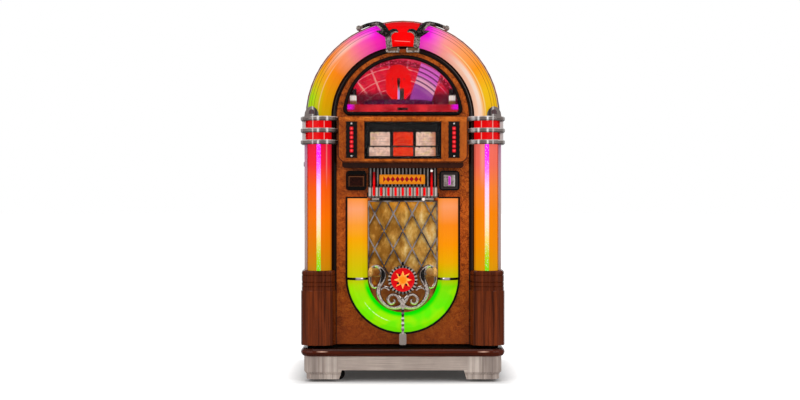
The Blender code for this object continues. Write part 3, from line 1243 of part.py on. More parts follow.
BEZEL_WAVES = 7

TITLE_WINDOW_HALF_WIDTH = BUTTON_X - TITLE_WINDOW_INSET
PAGE_HALF_WIDTH = TITLE_WINDOW_HALF_WIDTH - PAGE_SIDE_MARGIN
BOX_FRONT_Y = ON_DOOR_Y - BOX_DEPTH
BOX_INSIDE_Y = BOX_FRONT_Y + BOX_WALL
TITLE_WINDOW_TOP_Z = TITLE_BOX_TOP_Z - TITLE_WINDOW_DROP
TITLE_WINDOW_Z = TITLE_WINDOW_TOP_Z - TITLE_WINDOW_HEIGHT / 2
PAGE_AXIS_Y = ON_DOOR_Y - RACK_THICKNESS - PAGE_STAND_OFF
PAGE_AXIS_Z = TITLE_BOX_TOP_Z - PAGE_AXIS_DROP
BEZEL_BACK_Y = BOX_FRONT_Y - SEAT_GAP
BEZEL_FRONT_Y = BEZEL_BACK_Y - BEZEL_THICKNESS


def box_outline(inset):
    """The front of the title box: nearly square above, with large round corners below."""
    half, top_z, low_z = TITLE_BOX_HALF_WIDTH - inset, TITLE_BOX_TOP_Z - inset, TITLE_BOX_BOTTOM_Z + inset
    big = BOX_CORNER - inset
    outline = arc((-half + big, low_z + big), (big, big), 180, 270, CORNER_STEPS + 1)
    outline += arc((half - big, low_z + big), (big, big), 270, 360, CORNER_STEPS + 1)
    radii = (BOX_TOP_CORNER, BOX_TOP_CORNER)
    outline += arc((half - BOX_TOP_CORNER, top_z - BOX_TOP_CORNER), radii, 0, 90, 2)
    outline += arc((-half + BOX_TOP_CORNER, top_z - BOX_TOP_CORNER), radii, 90, 180, 2)
    return outline


def button_heights():
    """Heights of the selection buttons, from the top one down."""
    return [TITLE_WINDOW_Z + ((BUTTON_COUNT - 1) / 2 - index) * BUTTON_PITCH for index in range(BUTTON_COUNT)]


def title_box(pivot):
    """The wooden title box: a shell with a window, two button slots, a card rack and page lugs."""
    levels = ((BOX_FRONT_Y, BOX_EDGE), (BOX_FRONT_Y + BOX_EDGE, 0), (ON_DOOR_Y, 0))
    shell = loft([[(x, y, z) for x, z in box_outline(inset)] for y, inset in levels])
    housing = make("title_box", shell, ((0.42, 0.13, 0.03), 0.25, 0), parent=pivot)
    cove_half = TITLE_BOX_HALF_WIDTH - BOX_COVE_INSET
    cove_low = TITLE_BOX_BOTTOM_Z - BOX_COVE_DROP
    cove = rounded(around(0, cove_half), (cove_low, TITLE_BOX_BOTTOM_Z + BOX_CORNER), BOX_COVE_DROP / 2)
    join(housing, front_prism(cove, BOX_FRONT_Y + BOX_COVE_SETBACK, ON_DOOR_Y), pivot)
    inside = box_outline(BOX_WALL)
    cut(housing, front_prism(inside, BOX_INSIDE_Y, ON_DOOR_Y - RACK_THICKNESS), pivot)
    window = rounded(around(0, TITLE_WINDOW_HALF_WIDTH), around(TITLE_WINDOW_Z, TITLE_WINDOW_HEIGHT / 2),
                     TITLE_WINDOW_CORNER)
    through = (BOX_FRONT_Y - OVERRUN, BOX_INSIDE_Y + OVERRUN)
    slot_half = BUTTON_SIZE / 2 + BUTTON_SLOT_GAP
    heights = button_heights()
    slot_z = (heights[-1] - slot_half, heights[0] + slot_half)
    slots = [box(around(side * BUTTON_X, slot_half), through, slot_z) for side in (-1, 1)]
    cut(housing, merged(front_prism(window, *through), *slots), pivot)
    near = PAGE_HALF_WIDTH + RUNNING_GAP
    lug_y = (PAGE_AXIS_Y - PAGE_LUG_HALF, ON_DOOR_Y - RACK_THICKNESS + EMBED)
    lug_z = around(PAGE_AXIS_Z, PAGE_LUG_HALF)
    join(housing, merged(box((near, near + PAGE_LUG_THICKNESS), lug_y, lug_z),
                         box((-near - PAGE_LUG_THICKNESS, -near), lug_y, lug_z)), pivot)
    for side in (-1, 1):
        lug_x = around(side * (near + PAGE_LUG_THICKNESS / 2), PAGE_LUG_THICKNESS)
        cut(housing, rod(PAGE_PIN_BORE, lug_x, (0, PAGE_AXIS_Y, PAGE_AXIS_Z), "X"), pivot)


def title_glass(pivot):
    """The pane behind the window of the title box."""
    outline = rounded(around(0, TITLE_WINDOW_HALF_WIDTH + TITLE_GLASS_LAP),
                      around(TITLE_WINDOW_Z, TITLE_WINDOW_HEIGHT / 2 + TITLE_GLASS_LAP), TITLE_WINDOW_CORNER)
    near_y = BOX_INSIDE_Y + SEAT_GAP
    pane = front_prism(outline, near_y, near_y + TITLE_GLASS_THICKNESS)
    make("title_glass", pane, ((0.9, 0.9, 0.9), 0.02, 0),
         parent=pivot)


def title_page(pivot):
    """The leaf of title cards that turns up on its long pin."""
    axis = (0, PAGE_AXIS_Y, PAGE_AXIS_Z)
    leaf = box(around(0, PAGE_HALF_WIDTH), around(PAGE_AXIS_Y, PAGE_THICKNESS / 2),
               (PAGE_AXIS_Z - PAGE_LENGTH, PAGE_AXIS_Z))
    page = make("title_page", leaf, ((0.85, 0.7, 0.65), 0.5, 0), axis, pivot)
    reach = PAGE_HALF_WIDTH + RUNNING_GAP + PAGE_LUG_THICKNESS
    join(page, rod(PAGE_PIN_RADIUS, around(0, reach), axis, "X"), pivot)


def bezel_outline(side):
    """The plan of a button bezel with gently waved long edges."""
    points = []
    steps = BEZEL_WAVES * 2
    for edge in (-1, 1):
        for step in range(steps + 1):
            share = step / steps
            z = BEZEL_HALF_HEIGHT * (2 * share - 1) * -edge
            wave = BEZEL_WAVE * (1 - math.cos(2 * math.pi * BEZEL_WAVES * share)) / 2
            points.append((side * BUTTON_X + edge * (BEZEL_HALF_WIDTH - wave), TITLE_WINDOW_Z + z))
    return points


def button_bezel(name, side, pivot):
    """The plate that guides six buttons."""
    shape = front_prism(bezel_outline(side), BEZEL_FRONT_Y, BEZEL_BACK_Y)
    plate = make(name, shape, ((0.6, 0.45, 0.4), 0.3, 1), parent=pivot)
    half = BUTTON_SIZE / 2 + BUTTON_HOLE_GAP
    through = (BEZEL_FRONT_Y - OVERRUN, BEZEL_BACK_Y + OVERRUN)
    holes = [box(around(side * BUTTON_X, half), through, around(z, half)) for z in button_heights()]
    cut(plate, merged(*holes), pivot)


def selection_button(name, side, height, pivot):
    """A square button that travels straight into the title box."""
    front_y = BEZEL_FRONT_Y - BUTTON_PROUD
    half = BUTTON_SIZE / 2
    rings = []
    for y, inset in ((front_y, BUTTON_EDGE), (front_y + BUTTON_EDGE, 0), (BOX_FRONT_Y + BUTTON_TAIL, 0)):
        left, right = around(side * BUTTON_X, half - inset)
        low, high = around(height, half - inset)
        rings.append([(left, y, low), (right, y, low), (right, y, high), (left, y, high)])
    make(name, loft(rings), ((0.8, 0.0, 0.01), 0.25, 0), (side * BUTTON_X, front_y, height), pivot)


# Coin entry and coin return
COIN_BEZEL_DEPTH = 0.012
COIN_CUP_DEPTH = 0.030
COIN_POCKET_HALF_WIDTH = 0.0345
COIN_POCKET_HALF_HEIGHT = 0.0248
COIN_POCKET_BACK = 0.003
COIN_SLOT_HALF_WIDTH = 0.0025
COIN_SLOT_HALF_HEIGHT = 0.016
COIN_PLATE_HALF = 0.023
COIN_PLATE_SINK = 0.003
FLAP_SETBACK = 0.009
FLAP_DROP = 0.005
FLAP_THICKNESS = 0.002
FLAP_SIDE_GAP = 0.0008
FLAP_FOOT_GAP = 0.0015
FLAP_PIN_RADIUS = 0.0015
FLAP_PIN_BORE = 0.0021
FLAP_PIN_REACH = 0.0025

COIN_FRONT_Y = ON_DOOR_Y - COIN_BEZEL_DEPTH
COIN_CUP_BACK_Y = DOOR_INSIDE_Y + COIN_CUP_DEPTH - DOOR_FACE_THICKNESS / 2
FLAP_Y = COIN_FRONT_Y + FLAP_SETBACK
FLAP_Z = COIN_Z + COIN_POCKET_HALF_HEIGHT - FLAP_DROP


def coin_bezel(name, side, look, pivot):
    """A rounded black bezel on the door with its cup behind the panel."""
    outline = rounded(around(side * COIN_X, COIN_HALF_WIDTH), around(COIN_Z, COIN_HALF_HEIGHT), COIN_CORNER)
    bezel = make(name, front_prism(outline, COIN_FRONT_Y, ON_DOOR_Y), look, parent=pivot)
    join(bezel, box(around(side * COIN_X, COIN_CUP_HALF_WIDTH), (ON_DOOR_Y - EMBED, COIN_CUP_BACK_Y),
                    around(COIN_Z, COIN_CUP_HALF_HEIGHT)), pivot)
    return bezel


def coin_entry(pivot):
    """The coin slot on the right, open right through to the coin mechanism."""
    entry = coin_bezel("coin_entry", 1, ((0.03, 0.03, 0.03), 0.3, 0), pivot)
    plate = around(COIN_Z, COIN_PLATE_HALF)
    cut(entry, box(around(COIN_X, COIN_PLATE_HALF), (COIN_FRONT_Y - OVERRUN, COIN_FRONT_Y + COIN_PLATE_SINK),
                   plate), pivot)
    cut(entry, box(around(COIN_X, COIN_SLOT_HALF_WIDTH), (COIN_FRONT_Y - OVERRUN, COIN_CUP_BACK_Y + OVERRUN),
                   around(COIN_Z, COIN_SLOT_HALF_HEIGHT)), pivot)


def coin_return(pivot):
    """The coin return cup on the left with the bearings of its flap."""
    cup = coin_bezel("coin_return", -1, ((0.03, 0.03, 0.03), 0.3, 0), pivot)
    pocket_y = (COIN_FRONT_Y - OVERRUN, COIN_CUP_BACK_Y - COIN_POCKET_BACK)
    cut(cup, box(around(-COIN_X, COIN_POCKET_HALF_WIDTH), pocket_y,
                 around(COIN_Z, COIN_POCKET_HALF_HEIGHT)), pivot)
    reach = COIN_POCKET_HALF_WIDTH + FLAP_PIN_REACH + SEAT_GAP
    cut(cup, rod(FLAP_PIN_BORE, around(-COIN_X, reach), (0, FLAP_Y, FLAP_Z), "X"), pivot)


def coin_return_flap(pivot):
    """The flap that swings into the coin return on its two pins."""
    axis = (-COIN_X, FLAP_Y, FLAP_Z)
    low_z = COIN_Z - COIN_POCKET_HALF_HEIGHT + FLAP_FOOT_GAP
    plate = box(around(-COIN_X, COIN_POCKET_HALF_WIDTH - FLAP_SIDE_GAP), around(FLAP_Y, FLAP_THICKNESS / 2),
                (low_z, FLAP_Z + FLAP_THICKNESS))
    flap = make("coin_return_flap", plate, ((0.25, 0.15, 0.08), 0.4, 1), axis, pivot)
    reach = COIN_POCKET_HALF_WIDTH + FLAP_PIN_REACH
    join(flap, rod(FLAP_PIN_RADIUS, around(-COIN_X, reach), (0, FLAP_Y, FLAP_Z), "X"), pivot)


# Selector trim between the title box and the grille
TRIM_PLATE = 0.010
TRIM_LOW_GAP = 0.0016
TRIM_HIGH_GAP = 0.0006
TRIM_FIN_PITCH = 0.015
TRIM_FIN_WIDTH = 0.005
TRIM_FIN_DEPTH = 0.012
TRIM_BAND_HEIGHT = 0.047
TRIM_BAND_DEPTH = 0.030
TRIM_FLUTE_DEPTH = 0.005
RED_BAR_COUNT = 7
RED_BAR_PITCH_SHARE = 0.20828
RED_BAR_HALF_WIDTH = 0.00525
RED_BAR_HEIGHT = 0.034
RED_BAR_RISE = 0.008
RED_BAR_PROUD = 0.004
RED_PIN_INSET = 0.0244
RED_PIN_RADIUS = 0.004
RED_PIN_HEIGHT = 0.108
LOWER_BAR_INSET = 0.016
LOWER_BAR_RADIUS = 0.006
LOWER_BAR_DROP = 0.004

TRIM_LOW_Z = U_TOP_Z + TRIM_LOW_GAP
TRIM_HIGH_Z = TITLE_BOX_BOTTOM_Z - BOX_COVE_DROP - TRIM_HIGH_GAP


def selector_trim(pivot):
    """The chrome dress-up panel: upright fins above a fluted band with red bars and pins."""
    back_y = ON_DOOR_Y - TRIM_PLATE
    band_top = TRIM_LOW_Z + TRIM_BAND_HEIGHT
    plate = box(around(0, TRIM_HALF_WIDTH), (back_y, ON_DOOR_Y), (TRIM_LOW_Z, TRIM_HIGH_Z))
    trim = make("selector_trim", plate, ((0.7, 0.68, 0.66), 0.2, 1), parent=pivot)
    fins = []
    fin_count = int(2 * TRIM_HALF_WIDTH / TRIM_FIN_PITCH)
    for fin in range(fin_count):
        fin_x = (fin - (fin_count - 1) / 2) * TRIM_FIN_PITCH
        fins.append(box(around(fin_x, TRIM_FIN_WIDTH / 2), (back_y - TRIM_FIN_DEPTH, back_y + EMBED),
                        (band_top - EMBED, TRIM_HIGH_Z - EMBED)))
    band_y = ON_DOOR_Y - TRIM_BAND_DEPTH
    outline = [(TRIM_HALF_WIDTH, back_y + EMBED), (-TRIM_HALF_WIDTH, back_y + EMBED)]
    flutes = fin_count + 1
    flute_half = TRIM_HALF_WIDTH / flutes
    for flute in range(flutes):
        flute_x = -TRIM_HALF_WIDTH + (2 * flute + 1) * flute_half
        outline += arc((flute_x, band_y), (flute_half, TRIM_FLUTE_DEPTH), 180, 360, 3)[:-1]
    outline.append((TRIM_HALF_WIDTH, band_y))
    join(trim, plan_prism(outline, TRIM_LOW_Z + EMBED, band_top), pivot)
    join(trim, merged(*fins), pivot)
    bars = []
    bar_z = (TRIM_LOW_Z + RED_BAR_RISE, TRIM_LOW_Z + RED_BAR_RISE + RED_BAR_HEIGHT)
    bar_y = (band_y - TRIM_FLUTE_DEPTH - RED_BAR_PROUD, band_y + EMBED)
    for bar in range(RED_BAR_COUNT):
        bar_x = (bar - (RED_BAR_COUNT - 1) / 2) * RED_BAR_PITCH_SHARE * TRIM_HALF_WIDTH
        bars.append(box(around(bar_x, RED_BAR_HALF_WIDTH), bar_y, bar_z))
    pin_z = (bar_z[0], TRIM_LOW_Z + RED_PIN_HEIGHT)
    pin_x = TRIM_HALF_WIDTH - RED_PIN_INSET
    pin_y = band_y - RED_PIN_RADIUS / 2
    bars += [rod(RED_PIN_RADIUS, pin_z, (side * pin_x, pin_y, 0), "Z", 8) for side in (-1, 1)]
    join(trim, merged(*bars), pivot)
    lower = rod(LOWER_BAR_RADIUS, around(0, TRIM_HALF_WIDTH - LOWER_BAR_INSET),
                (0, band_y + LOWER_BAR_RADIUS, TRIM_LOW_Z - LOWER_BAR_DROP), "X")
    join(trim, lower, pivot)


# Illuminated U with the grille and the scroll ornament
U_STEPS = 22
U_LENS_BULGE = 0.035
GRILLE_EDGE_GAP = 0.0006
GRILLE_BASE = 0.003
GRILLE_BOW = 0.018
MESH_THICKNESS = 0.002
MESH_COLUMNS = 12
LATTICE_COLUMNS = 8
GRILLE_TOP_DROP = 0.010
LATTICE_MARGIN = 0.002
LATTICE_THICKNESS = 0.005
LATTICE_BAR = 0.0058
LATTICE_BORDER = 0.0045
LATTICE_PITCH_X = 0.0785
LATTICE_PITCH_Z = 0.147
LATTICE_CROSSING_DROP = 0.0544
LATTICE_ROWS = 4
SCROLL_BACK_GAP = 0.0007
SCROLL_FLAT_SHARE = 0.6
SCROLL_SIDES = 8
SCROLL_PLAIN_POINTS = 4
SCROLL_C_SHARES = ((-0.924, 0.165, 0.041), (-0.856, 0.287, 0.041), (-0.705, 0.316, 0.047),
                   (-0.583, 0.165, 0.068), (-0.569, -0.079, 0.074), (-0.680, -0.297, 0.061),
                   (-0.705, -0.433, 0.054), (-0.637, -0.621, 0.051), (-0.475, -0.799, 0.047),
                   (-0.257, -0.867, 0.044), (-0.080, -0.853, 0.047),
                   (0.020, -0.830, 0.050))
SCROLL_SPIRAL_SHARES = ((-0.013, -0.757, 0.061), (-0.095, -0.567, 0.047), (-0.203, -0.487, 0.041),
                        (-0.365, -0.513, 0.037), (-0.433, -0.635, 0.037), (-0.339, -0.731, 0.037),
                        (-0.231, -0.700, 0.034), (-0.240, -0.612, 0.027))
SCROLL_BAND_SHARES = ((-0.657, -0.357, 0.027), (-0.515, -0.252, 0.024), (-0.265, -0.320, 0.024))
SCROLL_STEM_SHARES = ((-0.913, 0.110, 0.022), (-0.898, -0.158, 0.020), (-0.827, -0.300, 0.030),
                      (-0.790, -0.330, 0.012))
SCROLL_EAR_SHARES = ((-0.930, 0.190, 0.050), (-0.925, 0.060, 0.050))
SCROLL_FINIAL_SHARES = ((0, 0.330, 0.050), (0, 0.430, 0.030), (0, 0.455, 0.012))
MEDALLION_DROP = 0.009
MEDALLION_SHARE = 0.419
MEDALLION_TEETH = 24
MEDALLION_TOOTH = 0.004
MEDALLION_DEPTH = 0.012
MEDALLION_RIM = 0.0125
MEDALLION_ENAMEL_SINK = 0.003
PENDANT_BEADS = 6
PENDANT_RADIUS = 0.0075
PENDANT_NECK = 0.0045
TAB_HALF_WIDTH = 0.015
TAB_HEIGHT = 0.047
TAB_ABOVE_DOOR = 0.001
TAB_CORNER = 0.006
SPEAKER_RAISE = 0.090
SPEAKER_STEPS = 16
SPEAKER_SHARES = ((0.21, 0.27), (0.81, 0), (1, 0), (1, 0.04), (0.83, 0.053), (0.37, 0.37), (0.37, 0.52))
SPEAKER_OVERLAP = 0.002

GRILLE_TOP_Z = U_TOP_Z - GRILLE_TOP_DROP
LATTICE_HALF_WIDTH = U_INNER_HALF - LATTICE_MARGIN
SCROLL_BACK_Y = ON_DOOR_Y - U_LENS_BULGE - SCROLL_BACK_GAP
MEDALLION_RADIUS = U_INNER_HALF * MEDALLION_SHARE
SPEAKER_RADIUS = U_INNER_HALF + SPEAKER_OVERLAP


def u_lens(pivot):
    """The illuminated U round the grille."""
    section = half_round(0, U_LENS_WIDTH, ON_DOOR_Y, U_LENS_BULGE)
    stations = u_stations(U_INNER_HALF, U_TOP_Z, U_STEPS)
    round_shading(make("u_lens", sweep(stations, section), ((0.7, 0.8, 0.05), 0.2, 0), parent=pivot))


def grille_front(x):
    """The bowed front of the mesh at a distance from the centre plane."""
    return ON_DOOR_Y - GRILLE_BASE - GRILLE_BOW * math.cos(math.pi * x / (2 * U_INNER_HALF))


def bowed_panel(half_width, top_z, low_z_at, front_gap, thickness, columns):
    """A panel that follows the bow of the grille, with a lower edge given by a function of x."""
    rings = []
    for column in range(columns + 1):
        x = half_width * (2 * column / columns - 1)
        front = grille_front(x) - front_gap
        back = front + thickness
        low_z = low_z_at(x)
        rings.append([(x, front, low_z), (x, back, low_z), (x, back, top_z), (x, front, top_z)])
    return loft(rings)


def grille_mesh(pivot):
    """The gold woven screen that fills the U."""
    radius = U_INNER_HALF - GRILLE_EDGE_GAP

    def lower_edge(x):
        return U_CENTRE_Z - math.sqrt(max(radius ** 2 - x ** 2, 0)) + GRILLE_EDGE_GAP

    panel = bowed_panel(radius, GRILLE_TOP_Z, lower_edge, 0, MESH_THICKNESS, MESH_COLUMNS)
    make("grille_mesh", panel, ((0.55, 0.35, 0.12), 0.5, 1), parent=pivot)


def grille_lattice(pivot):
    """The chrome diamond lattice in front of the mesh."""
    low_z = U_CENTRE_Z + EMBED
    gap = LATTICE_THICKNESS + SEAT_GAP
    panel = bowed_panel(LATTICE_HALF_WIDTH, GRILLE_TOP_Z, lambda x: low_z, gap, LATTICE_THICKNESS,
                        LATTICE_COLUMNS)
    lattice = make("grille_lattice", panel, ((0.7, 0.7, 0.72), 0.2, 1), parent=pivot)
    slope = LATTICE_PITCH_Z / LATTICE_PITCH_X
    half_x = LATTICE_PITCH_X / 2 - LATTICE_BAR / 2 * math.sqrt(1 + 1 / slope ** 2)
    half_z = half_x * slope
    crossing_z = GRILLE_TOP_Z - LATTICE_CROSSING_DROP
    side_x = LATTICE_HALF_WIDTH - LATTICE_BORDER
    limits = (low_z + LATTICE_BORDER, GRILLE_TOP_Z - LATTICE_BORDER)
    through = (grille_front(0) - gap - OVERRUN, ON_DOOR_Y)
    holes = []
    for row in range(-1, LATTICE_ROWS * 2):
        middle_z = crossing_z - (row - 1) * LATTICE_PITCH_Z / 2 + LATTICE_PITCH_Z / 2
        count = 4 if row % 2 else 5
        for column in range(count):
            middle_x = (column - (count - 1) / 2) * LATTICE_PITCH_X
            outline = clipped_diamond((middle_x, middle_z), (half_x, half_z), side_x, limits)
            if len(outline) > 2:
                holes.append(front_prism(outline, *through))
    cut(lattice, merged(*holes), pivot)


def clipped_diamond(middle, half, side_x, limits):
    """A diamond cut off at the side borders and at the upper and lower border."""
    points = [(middle[0] + half[0], middle[1]), (middle[0], middle[1] + half[1]),
              (middle[0] - half[0], middle[1]), (middle[0], middle[1] - half[1])]
    for axis, sign, limit in ((0, 1, side_x), (0, -1, side_x), (1, 1, limits[1]), (1, -1, -limits[0])):
        kept = []
        for index, here in enumerate(points):
            before = points[index - 1]
            inside_here = sign * here[axis] <= limit
            inside_before = sign * before[axis] <= limit
            if inside_here != inside_before:
                share = (limit - sign * before[axis]) / (sign * here[axis] - sign * before[axis])
                kept.append(tuple(b + share * (h - b) for b, h in zip(before, here)))
            if inside_here:
                kept.append(here)
        points = kept
    lengths = [math.dist(here, points[index - 1]) for index, here in enumerate(points)]
    if points and min(lengths) > LATTICE_BAR:
        return points
    return []


def scroll_bar(table, side):
    """One bar of the ornament from a table of shares of the grille's half width."""
    path = []
    parts = 2 if len(table) > SCROLL_PLAIN_POINTS else 1
    for x_share, z_share, radius_share in smooth(table, parts):
        radius = radius_share * U_INNER_HALF
        path.append((-side * x_share * U_INNER_HALF, SCROLL_BACK_Y - radius * SCROLL_FLAT_SHARE,
                     U_CENTRE_Z + z_share * U_INNER_HALF, radius))
    return flat_tube(path, SCROLL_SIDES, SCROLL_FLAT_SHARE)


def scroll_ornament(pivot):
    """The chrome casting: toothed medallion, two C-scrolls with spirals, beaded pendant and tab."""
    medallion_z = U_CENTRE_Z - MEDALLION_DROP
    teeth = []
    for tooth in range(MEDALLION_TEETH):
        root_radius = MEDALLION_RADIUS - MEDALLION_TOOTH
        radii = (MEDALLION_RADIUS, MEDALLION_RADIUS, root_radius, root_radius)
        for half, radius in enumerate(radii):
            turn = 2 * math.pi * (4 * tooth + half) / (4 * MEDALLION_TEETH)
            teeth.append((radius * math.cos(turn), medallion_z + radius * math.sin(turn)))
    front_y = SCROLL_BACK_Y - MEDALLION_DEPTH
    wheel = front_prism(teeth, front_y, SCROLL_BACK_Y)
    casting = make("scroll_ornament", wheel, ((0.7, 0.66, 0.62), 0.25, 1), parent=pivot)
    for side in (-1, 1):
        for table in (SCROLL_C_SHARES, SCROLL_SPIRAL_SHARES, SCROLL_BAND_SHARES, SCROLL_STEM_SHARES,
                      SCROLL_EAR_SHARES):
            join(casting, scroll_bar(table, side), pivot)
    join(casting, scroll_bar(SCROLL_FINIAL_SHARES, 1), pivot)
    tab_low = DOOR_BOTTOM_Z + TAB_ABOVE_DOOR
    tab_high = tab_low + TAB_HEIGHT
    beads = []
    top_z = U_CENTRE_Z + SCROLL_SPIRAL_SHARES[0][1] * U_INNER_HALF
    length = top_z - tab_high + EMBED
    for bead in range(2 * PENDANT_BEADS + 1):
        radius = PENDANT_NECK if bead % 2 else PENDANT_RADIUS
        beads.append((0, SCROLL_BACK_Y - PENDANT_RADIUS * SCROLL_FLAT_SHARE,
                      top_z - length * bead / (2 * PENDANT_BEADS), radius))
    join(casting, flat_tube(beads, SCROLL_SIDES, SCROLL_FLAT_SHARE), pivot)
    tab = rounded(around(0, TAB_HALF_WIDTH), (tab_low, tab_high), TAB_CORNER)
    join(casting, front_prism(tab, SCROLL_BACK_Y - PENDANT_RADIUS, ON_DOOR_Y), pivot)
    enamel = disc((0, medallion_z), MEDALLION_RADIUS - MEDALLION_RIM, WHEEL_STEPS)
    cut(casting, front_prism(enamel, front_y - OVERRUN, front_y + MEDALLION_ENAMEL_SINK), pivot)


def speaker(pivot):
    """The loudspeaker behind the grille, with its cone, basket and magnet."""
    flange_y = DOOR_INSIDE_Y + SEAT_GAP
    middle_z = U_CENTRE_Z + SPEAKER_RAISE
    rings = []
    for radius_share, depth_share in SPEAKER_SHARES:
        radius = SPEAKER_RADIUS * radius_share
        y = flange_y + SPEAKER_RADIUS * depth_share
        rings.append([(x, y, z) for x, z in disc((0, middle_z), radius, SPEAKER_STEPS)])
    round_shading(make("speaker", loft(rings), ((0.05, 0.05, 0.05), 0.6, 0), parent=pivot))


def door_parts():
    """Everything that swings out with the front door."""
    pivot = door_hinge_axis()
    front_door(pivot)
    side_lock(pivot)
    window_frame(pivot)
    window_glass(pivot)
    crown_lens(pivot)
    crown_claws(pivot)
    title_box(pivot)
    title_glass(pivot)
    title_page(pivot)
    coin_entry(pivot)
    coin_return(pivot)
    coin_return_flap(pivot)
    selector_trim(pivot)
    u_lens(pivot)
    grille_mesh(pivot)
    grille_lattice(pivot)
    scroll_ornament(pivot)
    speaker(pivot)
    for word, side in (("left", -1), ("right", 1)):
        arch_lens("arch_lens_" + word, side, pivot)
        column_lens("column_lens_" + word, side, pivot)
        bubble_tube("bubble_tube_" + word, side, pivot)
        collar("collar_" + word, side, pivot)
        pilaster("pilaster_" + word, side, pivot)
        button_bezel("button_bezel_" + word, side, pivot)
        for index, height in enumerate(button_heights()):
            selection_button("button_{}_{}".format(word, index + 1), side, height, pivot)


def build():
    """Model the whole jukebox."""
    clear_scene()
    cabinet()
    rear_cover()
    amplifier()
    base_moulding()
    plinth()
    base_board()
    casters()
    mechanism_shelf()
    backdrop()
    player_housing()
    gripper_arm()
    disc_carousel()
    door_hinge()
    door_parts()


build()
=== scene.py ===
"""An arch-topped jukebox of burl walnut, chrome and lit plastic, dressed over its solids."""

import math

import bmesh
import bpy
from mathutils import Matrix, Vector


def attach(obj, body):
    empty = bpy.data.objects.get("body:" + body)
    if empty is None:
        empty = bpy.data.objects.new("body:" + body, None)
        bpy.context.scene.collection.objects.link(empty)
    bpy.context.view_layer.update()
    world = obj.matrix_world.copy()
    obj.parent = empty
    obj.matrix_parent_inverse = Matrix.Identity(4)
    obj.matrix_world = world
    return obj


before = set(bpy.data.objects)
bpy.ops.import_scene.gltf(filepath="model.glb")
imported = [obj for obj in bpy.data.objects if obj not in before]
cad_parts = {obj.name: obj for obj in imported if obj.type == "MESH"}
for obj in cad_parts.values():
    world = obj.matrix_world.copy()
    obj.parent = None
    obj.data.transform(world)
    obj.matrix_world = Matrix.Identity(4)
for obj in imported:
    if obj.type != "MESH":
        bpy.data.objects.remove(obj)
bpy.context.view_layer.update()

# Cabinet. The shell is bent plywood round an arch, veneered with walnut burl and finished with a
# clear gloss lacquer. Its front edge is darker in a narrow band where the door closes against it.


class Field:
    """A value that shader nodes work out at each point, summed with the plain signs."""

    def __init__(self, socket):
        self.socket = socket

    def __add__(self, other):
        return sum_of("ADD", self, other)

    def __sub__(self, other):
        return sum_of("SUBTRACT", self, other)

    def __rsub__(self, other):
        return sum_of("SUBTRACT", other, self)

    def __mul__(self, other):
        return sum_of("MULTIPLY", self, other)

    def __truediv__(self, other):
        return sum_of("DIVIDE", self, other)

    def __abs__(self):
        return sum_of("ABSOLUTE", self)


def fields(sockets):
    """The sockets of a node by name, ready for sums."""
    return {socket.name: Field(socket) for socket in sockets}


def put(tree, kind, inputs=None, **settings):
    """Adds a shader node, with its settings and with values or fields on its inputs."""
    added = tree.nodes.new(kind)
    for name, value in settings.items():
        setattr(added, name, value)
    for name, value in (inputs or {}).items():
        if isinstance(value, Field):
            tree.links.new(value.socket, added.inputs[name])
        else:
            added.inputs[name].default_value = value
    return added


def beside(kind, output, inputs, **settings):
    """Adds a node to the tree that its input fields are in, and gives one of its outputs."""
    tree = next(value.socket.id_data for value in inputs.values() if isinstance(value, Field))
    return Field(put(tree, kind, inputs, **settings).outputs[output])


def sum_of(operation, *values):
    """One Math node; numbers and fields both do as values."""
    return beside("ShaderNodeMath", 0, dict(enumerate(values)), operation=operation)


def noise(place, scale, detail=2.0, roughness=0.5, distortion=0.0):
    """Cloudy noise, from 0 to 1."""
    return beside("ShaderNodeTexNoise", "Fac", {"Vector": place, "Scale": scale, "Detail": detail,
                                                "Roughness": roughness, "Distortion": distortion})


def cells_in(place, scale, output="Distance"):
    """Cells round scattered points: the distance to the nearest point, or a colour for each cell."""
    return beside("ShaderNodeTexVoronoi", output, {"Vector": place, "Scale": scale})


def tone(red, green, blue):
    """A colour as a paint chart gives it, 0 to 255, as linear light."""
    linear = []
    for value in (red, green, blue):
        share = value / 255
        linear.append(share / 12.92 if share <= 0.04045 else ((share + 0.055) / 1.055) ** 2.4)
    return (*linear, 1)


BLACK = (0, 0, 0, 1)


def blended(share, first, second):
    """A colour mixed from two, by a share."""
    return beside("ShaderNodeMix", 2, {0: share, 6: first, 7: second}, data_type="RGBA")


def ramp(share, *stops):
    """A colour read off a row of stops, each a place and a colour."""
    read = beside("ShaderNodeValToRGB", "Color", {"Fac": share})
    row = read.socket.node.color_ramp.elements
    while len(row) < len(stops):
        row.new(0.5)
    for stop, (place, colour) in zip(row, stops):
        stop.position = place
    for stop, (place, colour) in zip(row, stops):
        stop.color = colour
    return read


def between(value, low, high, to_low=0.0, to_high=1.0):
    """A value stretched from one range to another, and held at its ends."""
    return beside("ShaderNodeMapRange", "Result", {"Value": value, "From Min": low, "From Max": high,
                                                   "To Min": to_low, "To Max": to_high})


def within(value, low, high, soft=0.0004):
    """A mask that is 1 where the value lies in a range, with soft edges."""
    return between(value, low - soft, low + soft) * between(value, high - soft, high + soft, 1.0, 0.0)


def spot(tree):
    """Where a point of the surface lies on the jukebox at rest: the vector and its X, Y and Z."""
    place = Field(put(tree, "ShaderNodeTexCoord").outputs["Object"])
    parts = fields(put(tree, "ShaderNodeSeparateXYZ", {"Vector": place}).outputs)
    return place, parts["X"], parts["Y"], parts["Z"]


